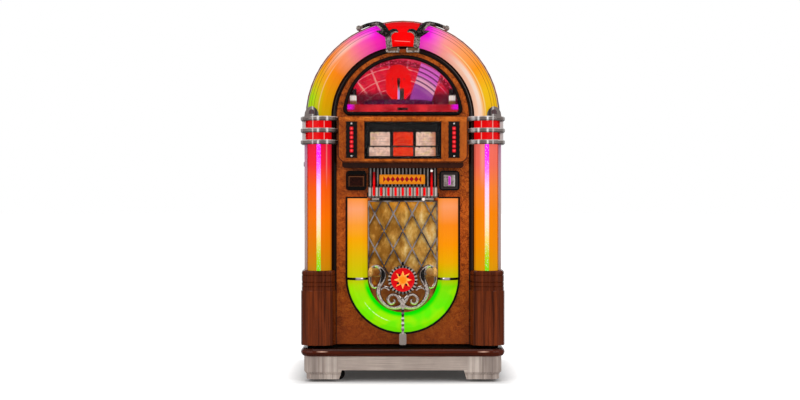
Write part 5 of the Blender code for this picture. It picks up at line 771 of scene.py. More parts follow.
murk = blended(between(cloud, 0.4, 0.62), tone(38, 4, 20), tone(88, 12, 40))
full = blended(low * 0.9, full, murk)
full = blended(wedge, full, violet)
spread = x + 0.0195
lift = most(z - 1.3237, 0.0)
arch = distance(spread, lift)
arch = between(arch, 0.0580, 0.0560) * between(z, 1.262, 1.270)
full = blended(arch, full, tone(232, 8, 8))
feed(shader, Base_Color=blended(0.5, full, BLACK), Emission_Color=full,
     Roughness=between(cloud, 0.3, 0.7, 0.4, 0.6), Height=(cloud, 0.0002))
dress(backdrop_finish, "backdrop")

# Player. A pressed-steel housing in red enamel stands on the shelf, with a chromed gripper arm in
# front of it and the carousel of discs turning round both. Small rivets hold the pressing.

PLAYER_ASIDE = 0.0175

# Painted light: the housing glows, for the lamps inside that light it.
housing_finish, tree, shader = new_finish("housing_red", 0.3, Specular_IOR_Level=0.08,
                                          Emission_Strength=0.85)
place, x, y, z = spot(tree)
peel = noise(place, 120.0, 3.0)
red = blended(between(peel, 0.3, 0.7), tone(236, 0, 4), tone(250, 4, 6))
fall = between(z, 1.185, 1.145)
red = blended(fall * 0.75, red, tone(96, 4, 24))
middle = abs(x + PLAYER_ASIDE)
slit = within(middle, 0.0398, 0.0425, 0.001) * within(z, 1.178, 1.200, 0.006)
red = blended(slit * 0.8, red, tone(250, 150, 170))
# A dark patch is painted on the front, beside the arm.
dark_patch = within(x, -0.0130, 0.0060, 0.0004) * within(z, 1.100, 1.2500, 0.0008)
red = blended(dark_patch, red, blended(peel, tone(26, 10, 12), tone(70, 50, 44)))
dot = abs(x + 0.0188) - 0.0255
drop = z - 1.2924
dot = distance(dot, drop)
red = blended(between(dot, 0.0046, 0.0036), red, tone(60, 2, 6))
crown = within(z + middle * middle * 3.0, 1.3175, 1.3205, 0.0008)
crown = crown * between(middle, 0.030, 0.034, 1.0, 0.0)
red = blended(crown * 0.6, red, tone(120, 2, 10))
feed(shader, Base_Color=blended(0.45, red, BLACK), Emission_Color=red,
     Roughness=between(peel, 0.3, 0.7, 0.25, 0.4), Height=(peel, 0.0003))
dress(housing_finish, "player_housing")


def skin(bm, loops, closed=True):
    """Faces from each loop of corners to the next."""
    count = len(loops[0])
    for first, second in zip(loops, loops[1:]):
        for step in range(count if closed else count - 1):
            after = (step + 1) % count
            bm.faces.new((first[step], first[after], second[after], second[step]))


def domed_head(bm, place, radius, height, turn=0.0, slotted=False, corners=14):
    """A round head facing the front, domed, with a slot across it if it is a screw."""
    rings = []
    for share, lift in ((1.0, 0.0), (0.93, 0.42), (0.70, 0.78), (0.36, 0.96)):
        loop = []
        for step in range(corners):
            way = math.tau * step / corners
            across = radius * share * math.cos(way)
            up = radius * share * math.sin(way)
            sunk = 0.55 if slotted and lift > 0.5 and abs(up) < radius * 0.26 else 0.0
            loop.append(bm.verts.new((place[0] + across * math.cos(turn) - up * math.sin(turn),
                                      place[1] - height * (lift - sunk * lift),
                                      place[2] + across * math.sin(turn) + up * math.cos(turn))))
        rings.append(loop)
    skin(bm, rings)
    bm.faces.new(rings[-1])


def solid_of(bm, name, material, smooth):
    """Turns a built mesh into an object of one material."""
    mesh = bpy.data.meshes.new(name)
    bm.to_mesh(mesh)
    bm.free()
    for face in mesh.polygons:
        face.use_smooth = smooth
    mesh.materials.append(material)
    made = bpy.data.objects.new(name, mesh)
    bpy.context.scene.collection.objects.link(made)
    return made


def piece_of(bm, name, material, body, smooth=True):
    """Turns a built mesh into a piece that rides on one body."""
    bmesh.ops.recalc_face_normals(bm, faces=bm.faces)
    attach(solid_of(bm, name, material, smooth), body)


rivet_finish, tree, shader = new_finish("dark_rivet", 0.6, 0.1)
place, x, y, z = spot(tree)
grit = noise(place, 900.0, 3.0)
feed(shader, Base_Color=blended(grit, tone(14, 2, 2), tone(56, 8, 8)), Height=(grit, 0.0002))

HOUSING_FRONT = -0.0301

bm = bmesh.new()
for offset in (-0.0235, 0.0235):
    domed_head(bm, (offset - PLAYER_ASIDE, HOUSING_FRONT, 1.2610), radius=0.0032, height=0.0016)
for offset in (-0.0370, 0.0370):
    for height in (1.1500, 1.2280):
        domed_head(bm, (offset - PLAYER_ASIDE, HOUSING_FRONT, height), radius=0.0020, height=0.0012)
piece_of(bm, "housing_rivets", rivet_finish, "cabinet_body")

arm_finish, tree, shader = new_finish("arm_chrome", 0.12, 1.0)
place, x, y, z = spot(tree)
metal = use(tree, casting, Soot=0.4, Bright=tone(206, 200, 204))
band = zigzag(z, 0.0012)
knurl = between(band, 0.0002, 0.0009) * between(z, 1.252, 1.256)
colour = blended(knurl * 0.6, metal["Color"], tone(30, 34, 32))
glow = between(z, 1.250, 1.235, 0.0, 0.7)
colour = blended(glow, colour, tone(214, 150, 236))
feed(shader, Base_Color=colour, Roughness=metal["Roughness"], Height=(knurl, 0.0006))
dress(arm_finish, "gripper_arm")

SLOT_DEGREES = 3.6

# Painted light: the discs glow a little, for the lamps inside.
disc_finish, tree, shader = new_finish("carousel_plum", 0.35, Emission_Strength=0.3)
place, x, y, z = spot(tree)
turned = bearing(y - 0.015, x + PLAYER_ASIDE)
leaf = zigzag(turned * 57.3, SLOT_DEGREES / 2)
wall = between(leaf, 0.5, 1.1)
specks = noise(place, 130.0, 4.0)
plum = blended(wall, tone(20, 4, 12), tone(86, 14, 52))
plum = blended(between(specks, 0.55, 0.70, 0.0, 0.7), plum, tone(150, 30, 70))
plum = blended(within(z, 1.178, 1.190, 0.004) * 0.35, plum, tone(110, 24, 96))
plum = blended(between(z, 1.150, 1.138), plum, tone(22, 4, 12))
feed(shader, Base_Color=plum, Emission_Color=plum, Roughness=between(specks, 0.3, 0.7, 0.25, 0.5),
     Height=(wall, 0.0012))
dress(disc_finish, "disc_carousel")

# Mechanism shelf. A folded steel shelf enamelled crimson, with a slot in its front lip. Two small
# lamps stand on it in the corners: frosted glass below, black caps above. Their light on the lip's
# ends is painted pink, and the shelf glows, painted light for the lamps inside.

shelf_finish, tree, shader = new_finish("shelf_crimson", 0.3, Emission_Strength=0.6)
place, x, y, z = spot(tree)
across = abs(x)
smears = noise(place, 22.0, 5.0)
crimson = blended(between(smears, 0.35, 0.65), tone(170, 8, 24), tone(226, 34, 44))
crimson = blended(between(z, 1.150, 1.170) * 0.2, crimson, tone(196, 20, 60))
# Painted light: pink pools of lamp light on the ends of the lip.
ends = between(across, 0.204, 0.224) * between(z, 1.146, 1.152)
crimson = blended(ends, crimson, tone(252, 10, 236))
slot = within(across, -1.0, 0.0230, 0.0004) * within(z, 1.1455, 1.1565, 0.0006)
lip = within(y, -0.170, -0.148, 0.0004)
crimson = blended(slot * lip, crimson, tone(4, 1, 1))
crimson = blended(lip, tone(40, 8, 14), crimson)
bulb = between(z, 1.172, 1.174) * within(across, 0.198, 0.232, 0.001)
frost = blended(between(zigzag(across, 0.0055), 0.002, 0.0045), tone(250, 226, 214), tone(255, 250, 246))
frost = blended(between(z, 1.192, 1.186), frost, tone(120, 84, 40))
frost = blended(between(z, 1.209, 1.212), frost, tone(22, 6, 12))
crimson = blended(bulb, crimson, frost)
feed(shader, Base_Color=blended(0.4, crimson, BLACK), Emission_Color=crimson,
     Roughness=between(smears, 0.3, 0.7, 0.22, 0.4), Height=(smears, 0.0004))
dress(shelf_finish, "mechanism_shelf")

# Title box. A shallow veneered box with rounded corners, screwed to the door from behind. Behind
# its glass sits a black rack with six title cards; the lower three hang on a page that turns.

box_finish, tree, shader = new_finish("burl_title_box", Coat_Weight=0.02, Coat_Roughness=0.05)
place, x, y, z = spot(tree)
across = abs(x)
grain = use(tree, burl, Dark=tone(112, 46, 8), Middle=tone(186, 88, 22), Light=tone(222, 120, 38))
flank = between(across, 0.150, 0.175)
deeper = flank * between(z, 1.095, 1.080)
burl_with_light = blended(deeper * 0.55, grain["Color"], tone(116, 44, 10))
opening = within(across, -1.0, 0.1605, 0.0004) * within(z, 0.9300, 1.0872, 0.0004)
inside = most(opening, within(y, -0.3365, -0.20, 0.0004))
inside = inside * within(across, -1.0, 0.164, 0.0004)
inside = inside * within(z, 0.926, 1.0880, 0.0004)
# Painted shade: the underside is a darker copy of the burl. Painted light: the right end is brightened.
cove = between(z, 0.9155, 0.9135)
shaded_grain = blended(between(grain["Height"], 0.4, 0.6), tone(40, 17, 9), tone(64, 28, 14))
burl_with_light = blended(between(x, 0.16, 0.20, 0.0, 0.35), burl_with_light, tone(214, 112, 40))
colour = blended(cove, burl_with_light, shaded_grain)
corner_x = most(across - 0.2380, 0.0)
corner_z = most(0.9475 - z, 0.0)
corner = distance(corner_x, corner_z)
outline = most(between(corner, 0.0270, 0.0285), between(z, 1.1054, 1.1062))
outline = outline * between(z, 0.9150, 0.9152)
colour = blended(outline * 0.85, colour, tone(44, 16, 6))
colour = blended(inside, colour, tone(9, 5, 5))
feed(shader, Base_Color=colour, Roughness=grain["Roughness"], Height=(grain["Height"], 0.0005))
dress(box_finish, "title_box")

page_finish, tree, shader = new_finish("page_holder", 0.3, 0.2)
marks = use(tree, handled, Smooth=0.2, Rough=0.4)
colour = blended(marks["Dulled"], tone(34, 30, 28), tone(66, 60, 56))
feed(shader, Base_Color=colour, Roughness=marks["Roughness"], Height=(marks["Height"], 0.0002))
dress(page_finish, "title_page")

RULED_PITCH = 0.0068


def card_finish(name, paper, shade, ink, tint_colour, warm):
    """Printed card, evenly lit, with faint ruled stripes and a warm corner."""
    material, tree, shader = new_finish(name, 0.6, Emission_Strength=0.5)
    place, x, y, z = spot(tree)
    fibre = noise(place, 260.0, 4.0)
    wash = noise(place, 42.0, 3.0)
    row = zigzag(z - 0.9405, RULED_PITCH / 2)
    stripe = between(row, 0.0010, 0.0017, 0.0, 1.0)
    broken = between(noise(place, 90.0), 0.42, 0.5)
    colour = blended(between(wash, 0.35, 0.65), paper, shade)
    tint = noise(place, 26.0, 1.0, distortion=1.0)
    colour = blended(between(tint, 0.52, 0.64) * 0.4, colour, tint_colour)
    colour = blended(stripe * broken * 0.45, colour, ink)
    glow = between(x, 0.112, 0.142)
    colour = blended(glow * warm, colour, tone(196, 88, 18))
    colour = blended(between(fibre, 0.5, 0.8, 0.0, 0.2), colour, shade)
    feed(shader, Base_Color=blended(0.4, colour, BLACK), Emission_Color=colour,
         Roughness=between(fibre, 0.3, 0.7, 0.5, 0.7), Height=(fibre, 0.0001))
    return material


cream_card = card_finish("cream_card", paper=tone(246, 210, 192), shade=tone(224, 180, 160),
                         ink=tone(150, 104, 92), tint_colour=tone(232, 206, 116), warm=0.8)
red_card = card_finish("red_card", paper=tone(232, 34, 8), shade=tone(204, 28, 16),
                       ink=tone(244, 96, 36), tint_colour=tone(196, 20, 16), warm=0.0)


def card(bm, left, right, low, high, front, notch=0.0035):
    """A card with clipped corners and two hanger notches at its upper edge, slightly bowed."""
    width = right - left
    outline = [(left, low), (right, low), (right, high - notch), (right - notch, high)]
    for share in (0.80, 0.20):
        middle = left + width * share
        outline += [(middle + notch, high), (middle + notch * 0.6, high - notch),
                    (middle - notch * 0.6, high - notch), (middle - notch, high)]
    outline += [(left + notch, high), (left, high - notch)]
    ahead = []
    behind = []
    for across, up in outline:
        bow = 0.0010 * (1 - ((across - left) / width * 2 - 1) ** 2)
        ahead.append(bm.verts.new((across, front - bow, up)))
        behind.append(bm.verts.new((across, front + 0.0004, up)))
    bm.faces.new(ahead)
    bm.faces.new(behind[::-1])
    for step in range(len(outline)):
        after = (step + 1) % len(outline)
        bm.faces.new((ahead[after], ahead[step], behind[step], behind[after]))


CARD_COLUMNS = ((-0.1370, -0.0540), (-0.0400, 0.0430), (0.0560, 0.1378))
UPPER_ROW = {"low": 0.9880, "high": 1.0450, "front": -0.2795}
LOWER_ROW = {"low": 0.9440, "high": 0.9815, "front": -0.2838}
upper_cream, lower_cream = bmesh.new(), bmesh.new()
upper_red, lower_red = bmesh.new(), bmesh.new()
for column, (left, right) in enumerate(CARD_COLUMNS):
    middle = column == 1
    card(upper_red if middle else upper_cream, left, right, **UPPER_ROW)
    wider = 0.0 if middle else 0.004
    card(lower_red if middle else lower_cream, left - wider, right, **LOWER_ROW)
piece_of(upper_cream, "upper_cards_cream", cream_card, "door", False)
piece_of(upper_red, "upper_card_red", red_card, "door", False)
piece_of(lower_cream, "lower_cards_cream", cream_card, "page_body", False)
piece_of(lower_red, "lower_card_red", red_card, "page_body", False)

# Selector buttons. Beside the window two black moulded strips with scalloped edges hold six red
# buttons each, clear acrylic caps over small lamps. A slotted screw holds each strip at either
# end.

BEZEL_ASIDE = 0.2130

bezel_finish, tree, shader = new_finish("bezel_black", 0.2, Specular_IOR_Level=0.06)
marks = use(tree, handled, Smooth=0.16, Rough=0.36)
colour = blended(marks["Dulled"], tone(12, 9, 9), tone(28, 23, 22))
feed(shader, Base_Color=colour, Roughness=marks["Roughness"], Height=(marks["Height"], 0.0001))
dress(bezel_finish, "button_bezel_left", "button_bezel_right")

LOWEST_BUTTON = 0.9640
BUTTON_PITCH = 0.0184

button_finish, tree, shader = new_finish("button_red", 0.15, Specular_IOR_Level=0.2, Emission_Strength=0.5)
place, x, y, z = spot(tree)
low = zigzag(z - LOWEST_BUTTON, BUTTON_PITCH / 2)
side = abs(abs(x) - BEZEL_ASIDE)
core = distance(low, side)
specks = noise(place, 500.0, 2.0)
colour = ramp(between(core, 0.0, 0.0095), (0.0, tone(255, 120, 110)), (0.28, tone(240, 36, 48)),
              (0.7, tone(222, 10, 26)), (1.0, tone(120, 0, 10)))
feed(shader, Base_Color=blended(0.4, colour, BLACK), Emission_Color=colour,
     Roughness=between(specks, 0.3, 0.7, 0.08, 0.2), Height=(specks, 0.0001))
buttons = [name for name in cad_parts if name.startswith("button_") and "bezel" not in name]
dress(button_finish, *buttons)

screw_finish, tree, shader = new_finish("screw_nickel", 0.2, 1.0)
place, x, y, z = spot(tree)
turned = noise(place, 700.0, 2.0)
feed(shader, Base_Color=blended(turned, tone(150, 146, 142), tone(214, 210, 206)),
     Roughness=between(turned, 0.3, 0.7, 0.12, 0.3), Height=(turned, 0.0001))
bm = bmesh.new()
for side in (-1, 1):
    for height, turn in ((1.0760, 0.5), (0.9415, 1.9)):
        domed_head(bm, (side * BEZEL_ASIDE, -0.3413, height), radius=0.0042, height=0.0022,
                   turn=turn * side, slotted=True)
piece_of(bm, "bezel_screws", screw_finish, "door")

# Coin entry and coin return. Two square zinc castings screwed to the door under the title box.
# The right one takes coins through a lit slot in a steel plate; the left one returns them behind
# a hinged flap.

COIN_ASIDE = 0.196
COIN_HEIGHT = 0.8405

entry_finish, tree, shader = new_finish("coin_plate_steel", 0.25, 0.0, Emission_Strength=0.95)
place, x, y, z = spot(tree)
from_middle = abs(x - COIN_ASIDE)
above = abs(z - COIN_HEIGHT)
square = most(from_middle, above)
brushed = noise(place, 70.0, 2.0)
plate = blended(between(brushed, 0.3, 0.7), tone(122, 108, 106), tone(176, 162, 158))
# Painted highlight: a light band along the plate's right edge.
highlight_edge = within(x - COIN_ASIDE, 0.0180, 0.0225, 0.001)
plate = blended(highlight_edge * 0.8, plate, tone(226, 220, 220))
groove = within(from_middle, 0.0085, 0.0105, 0.0006)
plate = blended(groove * 0.3, plate, tone(60, 46, 50))
inner = between(square, 0.0238, 0.0246, 1.0, 0.0)
ring = within(square, 0.0290, 0.0340, 0.0015)
black = blended(ring * 0.4, tone(10, 7, 7), tone(96, 82, 80))
colour = blended(inner, black, plate)
slot = between(from_middle, 0.0036, 0.0048, 1.0, 0.0) * between(above, 0.0165, 0.0185, 1.0, 0.0)
glow = blended(slot, BLACK, tone(255, 60, 245))
feed(shader, Base_Color=blended(slot, colour, tone(120, 20, 110)), Emission_Color=glow,
     Metallic=inner * 0.7, Roughness=between(brushed, 0.3, 0.7, 0.2, 0.4), Height=(brushed, 0.0003))
dress(entry_finish, "coin_entry")

return_finish, tree, shader = new_finish("coin_cup_black", 0.25, Specular_IOR_Level=0.06)
place, x, y, z = spot(tree)
from_middle = abs(x + COIN_ASIDE)
above = abs(z - COIN_HEIGHT)
square = most(from_middle, above * 1.4)
worn = noise(place, 120.0, 5.0)
bronze = blended(between(worn, 0.35, 0.65), tone(84, 38, 18), tone(168, 100, 62))
colour = blended(within(square, 0.0300, 0.0345, 0.0008), tone(11, 8, 7), bronze)
feed(shader, Base_Color=colour, Roughness=between(worn, 0.3, 0.7, 0.2, 0.4), Height=(worn, 0.0002))
dress(return_finish, "coin_return")

flap_finish, tree, shader = new_finish("return_flap_brown", 0.3, 0.3)
place, x, y, z = spot(tree)
worn = noise(place, 140.0, 5.0)
colour = blended(between(worn, 0.4, 0.7), tone(26, 6, 3), tone(56, 20, 12))
from_middle = abs(x + COIN_ASIDE)
above = abs(z - 0.8370)
line = most(within(from_middle, 0.0285, 0.0315, 0.0006), within(above, 0.0190, 0.0215, 0.0006))
line = line * between(most(from_middle, above * 1.46), 0.0325, 0.0320)
colour = blended(line * 0.75, colour, tone(150, 92, 56))
feed(shader, Base_Color=colour, Roughness=between(worn, 0.3, 0.7, 0.22, 0.4), Height=(worn, 0.0003))
dress(flap_finish, "coin_return_flap")

# Selector trim. One zinc casting over the grille: chromed fins with a fluted apron under them.
# Red acrylic pegs are pressed into the flutes, and two long pins stand at the ends. The gilt
# plate on it carries a plain row of lozenges.

FIN_PITCH = 0.0150
FLUTE_PITCH = 0.0145
PEG_PITCH = 0.0302
PEG_FOOT = 0.7766
APRON_FOOT = 0.7700
APRON_TOP = 0.8146

trim_finish, tree, shader = new_finish("trim_chrome", 0.22, 0.7)
place, x, y, z = spot(tree)
across = abs(x)
metal = use(tree, casting, Soot=0.6, Bright=tone(206, 196, 190))
fin = zigzag(x, FIN_PITCH / 2)
gap = between(fin, 0.0032, 0.0040) * between(z, 0.8150, 0.8160)
# Painted reflection: dark vertical streaks on the chromed fins.
reflection_streak = noise(stretched(place, (420.0, 0.0, 18.0)), 1.0, 2.0)
colour = blended(between(reflection_streak, 0.45, 0.6, 0.0, 0.75), metal["Color"], tone(44, 36, 34))
colour = blended(gap, colour, tone(14, 10, 9))
apron = within(z, APRON_FOOT, APRON_TOP, 0.0004)
flute = zigzag(x, FLUTE_PITCH / 2)
# Painted light and shade: each flute is light at its crest and dark in its valleys; the apron is also
# darker along its foot and top.
flute_shading = blended(between(flute, 0.0010, 0.0060), tone(120, 108, 100), tone(206, 196, 188))
flute_shading = blended(within(z, APRON_FOOT, 0.7750, 0.0006), flute_shading, tone(96, 84, 76))
flute_shading = blended(within(z, 0.8110, APRON_TOP, 0.0006), flute_shading, tone(66, 54, 50))
colour = blended(apron * 0.95, colour, flute_shading)
peg = between(zigzag(x, PEG_PITCH / 2), 0.0048, 0.0054, 1.0, 0.0)
pegs = peg * (within(z, PEG_FOOT, 0.8106, 0.0004) * between(across, 0.098, 0.099, 1.0, 0.0))
pin = within(across, 0.1154, 0.1258, 0.0003) * within(z, PEG_FOOT, 0.8770, 0.0004)
red = most(pegs, pin)
enamel = blended(between(z, 0.835, 0.868), tone(250, 0, 6), tone(150, 8, 14))
colour = blended(red, colour, enamel)
rod = between(z, 0.7673, 0.7675, 1.0, 0.0)
colour = blended(rod, colour, tone(176, 160, 152))
colour = blended(rod * within(x, -0.0990, 0.0790, 0.0004), colour, tone(9, 7, 7))
feed(shader, Base_Color=colour, Metallic=between(most(red, apron), 0.0, 1.0, 0.7, 0.0),
     Roughness=metal["Roughness"], Height=(metal["Height"], 0.0002))
dress(trim_finish, "selector_trim")


def ball(bm, centre, reach, around=16, rows=10):
    """A ball built ring by ring between its poles, or an egg where its three reaches differ."""
    loops = []
    for row in range(1, rows):
        down = math.pi * row / rows
        loop = []
        for step in range(around):
            way = math.tau * step / around
            share = (math.sin(down) * math.cos(way), math.sin(down) * math.sin(way), math.cos(down))
            loop.append(bm.verts.new([at + half * part for at, half, part in zip(centre, reach, share)]))
        loops.append(loop)
    skin(bm, loops)
    for loop, end in ((loops[0], 1), (loops[-1], -1)):
        pole = bm.verts.new((centre[0], centre[1], centre[2] + end * reach[2]))
        for step in range(around):
            bm.faces.new((loop[step], loop[(step + 1) % around], pole))


# Painted light: the pearls glow softly.
pearl_finish, tree, shader = new_finish("pearl_white", 0.2, Coat_Weight=0.5, Emission_Strength=0.4)
place, x, y, z = spot(tree)
cloud = noise(place, 300.0, 3.0)
colour = blended(cloud, tone(255, 246, 240), tone(226, 214, 208))
feed(shader, Base_Color=colour, Emission_Color=colour, Roughness=between(cloud, 0.3, 0.7, 0.12, 0.3))

# Painted light: the gilt plate glows softly.
plate_finish, tree, shader = new_finish("gilt_plate", 0.35, 0.2, Emission_Strength=0.35)
place, x, y, z = spot(tree)
grain_line = noise(stretched(place, (30.0, 30.0, 700.0)), 1.0, 3.0)
gilt = blended(grain_line, tone(232, 118, 12), tone(250, 158, 26))
from_middle = abs(x + 0.0023)
above = abs(z - 0.8460)
border = most(within(from_middle, 0.0895, 0.0912, 0.0003), within(above, 0.0142, 0.0156, 0.0003))
gilt = blended(border * 0.5, gilt, tone(170, 84, 10))
lozenge = zigzag(from_middle, 0.0098) + above * 0.80
motif = between(lozenge, 0.0094, 0.0100, 1.0, 0.0) * between(from_middle, 0.079, 0.080, 1.0, 0.0)
gilt = blended(motif, gilt, tone(158, 10, 26))
feed(shader, Base_Color=blended(0.35, gilt, BLACK), Emission_Color=gilt,
     Roughness=between(grain_line, 0.3, 0.7, 0.25, 0.45), Height=(grain_line, 0.0002))


def bare_plate(left, right, low, high, front, thick, corner):
    """A thin plate with clipped corners, its front edge bevelled."""
    bm = bmesh.new()
    outline = ((left + corner, low), (right - corner, low), (right, low + corner),
               (right, high - corner), (right - corner, high), (left + corner, high),
               (left, high - corner), (left, low + corner))
    rows = []
    for inset, y in ((0.0, front + thick), (0.0, front + thick * 0.3), (thick * 0.5, front)):
        loop = []
        for x, z in outline:
            pull_x = inset if x < (left + right) / 2 else -inset
            pull_z = inset if z < (low + high) / 2 else -inset
            loop.append(bm.verts.new((x + pull_x, y, z + pull_z)))
        rows.append(loop)
    skin(bm, rows)
    bm.faces.new(rows[0])
    bm.faces.new(rows[-1])
    return bm


bm = bare_plate(left=-0.0975, right=0.0930, low=0.8255, high=0.8652, front=-0.3025, thick=0.0052,
                corner=0.0022)
piece_of(bm, "gilt_plate", plate_finish, "door", False)
bm = bmesh.new()
for centre, radius in (((0.1206, -0.3073, 0.8812), 0.0056), ((0.0865, -0.3000, 0.7632), 0.0078)):
    ball(bm, centre, (radius, radius, radius))
piece_of(bm, "pearls", pearl_finish, "door")

# Illuminated U. A half-round moulding of opal acrylic bent to a U and lit from behind, green
# below and orange above, with a black edge painted on the door round it. Two bars cover its
# joints.

U_FOOT = 0.205
U_TOP = 0.766

u_finish, tree, shader = lit_finish("u_light", 0.75)
place, x, y, z = spot(tree)
left_light = ramp(between(z, U_FOOT, U_TOP), (0.0, tone(112, 240, 2)), (0.16, tone(122, 246, 0)),
                  (0.30, tone(158, 232, 0)), (0.39, tone(196, 206, 0)), (0.56, tone(226, 186, 0)),
                  (0.70, tone(252, 168, 0)), (0.80, tone(255, 160, 50)), (0.92, tone(255, 164, 112)),
                  (1.0, tone(255, 150, 62)))
right_light = ramp(between(z, U_FOOT, U_TOP), (0.0, tone(112, 240, 0)), (0.16, tone(96, 248, 0)),
                   (0.34, tone(128, 226, 0)), (0.40, tone(190, 200, 0)), (0.52, tone(240, 172, 0)),
                   (0.66, tone(255, 150, 0)), (0.80, tone(255, 140, 24)), (0.94, tone(255, 158, 100)),
                   (1.0, tone(255, 148, 66)))
colour = blended(between(x, -0.05, 0.05), left_light, right_light)
below = least(z - U_CENTRE, 0.0)
u_far = distance(x, below)
patches = noise(place, 13.0, 1.0)
lower = between(z, 0.415, 0.38)
colour = blended(lower * between(patches, 0.48, 0.60, 0.0, 0.7), colour, tone(164, 244, 0))
inner = between(u_far, 0.168, 0.158) * between(z, 0.43, 0.39)
colour = blended(inner, colour, tone(8, 244, 0))
turned = in_degrees(bearing(U_CENTRE - z, x * -1.0))
glare = within(u_far, 0.1888, 0.1916, 0.0006) * within(turned, 34.0, 72.0, 2.0)
broken = between(noise(place, 260.0), 0.40, 0.52)
colour = blended(glare * broken, colour, tone(232, 255, 190))
warm = between(u_far, 0.170, 0.150) * between(z, 0.50, 0.62)
colour = blended(warm * 0.5, colour, tone(255, 146, 0))
edge = most(between(u_far, 0.2300, 0.2328), between(u_far, 0.1510, 0.1482))
light_up(tree, shader, blended(edge * 0.35, colour, tone(90, 80, 0)))
dress(u_finish, "u_lens")

LIMB_ASIDE = 0.1905
LIMB_HALF_WIDTH = 0.0427
LIMB_BACK = -0.2753
LIMB_DEPTH = 0.0352


def joint_bar(side, low, high):
    """A flat bar bent over the half round of the U, from its inner edge to its outer edge."""
    bm = bmesh.new()
    loops = []
    for z, lift in ((low, 0.0), (low + 0.0012, 0.0014), (high - 0.0012, 0.0014), (high, 0.0)):
        loop = []
        for step in range(21):
            way = math.pi * step / 20
            loop.append(bm.verts.new((side * (LIMB_ASIDE - (LIMB_HALF_WIDTH + lift) * math.cos(way)),
                                      LIMB_BACK - (LIMB_DEPTH + lift) * math.sin(way), z)))
        loops.append(loop)
    skin(bm, loops, closed=False)
    return bm


bar_finish, tree, shader = new_finish("joint_bar", 0.15, 0.9)
place, x, y, z = spot(tree)
across = abs(x)
dull = noise(place, 160.0, 3.0)
bright = within(across, 0.157, 0.196, 0.004) * within(z, 0.4240, 0.4335, 0.0015)
colour = blended(bright, tone(12, 8, 10), blended(dull, tone(120, 104, 120), tone(210, 200, 206)))
feed(shader, Base_Color=colour, Roughness=between(dull, 0.3, 0.7, 0.1, 0.3), Height=(dull, 0.0002))
for word, side in (("left", -1), ("right", 1)):
    piece_of(joint_bar(side, low=0.4235, high=0.4340), "joint_bar_" + word, bar_finish, "door")

# Grille. Woven brass mesh, bowed forward, behind a diamond lattice cast in zinc and chromed. Each
# diamond of the mesh darkens towards its edges, painted shade that makes it look pressed into a
# soft cushion.

DIAMOND_WIDTH = 0.0785
DIAMOND_HEIGHT = 0.147
KNOT_HEIGHT = 0.6281
WIRE_TURNS = 2600.0

# Painted light: the mesh glows softly, for the lamps' spill on it.
mesh_finish, tree, shader = new_finish("brass_mesh", 0.4, 0.35, Emission_Strength=0.12)
place, x, y, z = spot(tree)
one = x / DIAMOND_WIDTH
two = (z - KNOT_HEIGHT) / DIAMOND_HEIGHT
up = zigzag(one + two, 0.5)
down = zigzag(one - two, 0.5)
cushion = between(up, 0.0, 0.30) * between(down, 0.0, 0.30)
wires = sum_of("SINE", (x + z) * WIRE_TURNS)
other = sum_of("SINE", (x - z) * WIRE_TURNS)
weave = between(wires * other, -0.6, 0.6)
cloth = noise(stretched(place, (36.0, 36.0, 22.0)), 1.0, 5.0, roughness=0.6)
# Painted light: the mesh is lighter to the right and darker to the left.
lean = between(x * 1.6 + (cloth - 0.5) * 1.9, -0.30, 0.42)
gold = ramp(lean, (0.0, tone(158, 104, 34)), (0.35, tone(198, 142, 62)), (0.62, tone(226, 176, 88)),
            (1.0, tone(252, 222, 156)))
# Painted shade: each diamond darkens towards its edges.
gold = blended((1.0 - cushion) * 0.5, gold, tone(104, 64, 16))
gold = blended(weave * 0.22, gold, tone(84, 48, 10))
# Painted light: orange glow in patches near the top and at some of the diamonds' corners.
warm = between(z, 0.70, 0.765)
flare = noise(place, 26.0, 3.0)
gold = blended(warm * between(flare, 0.38, 0.50) * 0.9, gold, tone(246, 150, 0))
corner_glow = most(up, down)
corner_glow = between(corner_glow, 0.15, 0.07) * between(flare, 0.44, 0.50)
gold = blended(corner_glow, gold, tone(252, 170, 10))
# Towards the foot the gold is turned redder, against the green light of the U on it.
gold = blended(between(z, 0.50, 0.40, 0.0, 0.65), gold, tone(168, 62, 40))
feed(shader, Base_Color=gold, Emission_Color=gold, Roughness=between(weave, 0.0, 1.0, 0.3, 0.5),
     Height=(weave, 0.0006))
dress(mesh_finish, "grille_mesh")

lattice_finish, tree, shader = new_finish("lattice_chrome", 0.2, 0.5)
place, x, y, z = spot(tree)
metal = use(tree, casting, Soot=0.5, Bright=tone(226, 214, 210))
patchy = noise(place, 17.0, 3.0)
colour = blended(between(patchy, 0.44, 0.56, 0.85, 0.0), metal["Color"], tone(52, 38, 38))
colour = blended(between(z, 0.4450, 0.4446), colour, tone(176, 128, 60))
feed(shader, Base_Color=colour, Roughness=metal["Roughness"], Height=(metal["Height"], 0.0003))
dress(lattice_finish, "grille_lattice")

# Scroll ornament. The chromed casting over the grille's foot: scrolls, a toothed ring round a red
# enamel medallion with an eight-pointed star, a beaded pendant and a ribbed tab. Black wash fills
# its hollows.

MEDALLION_HEIGHT = 0.426

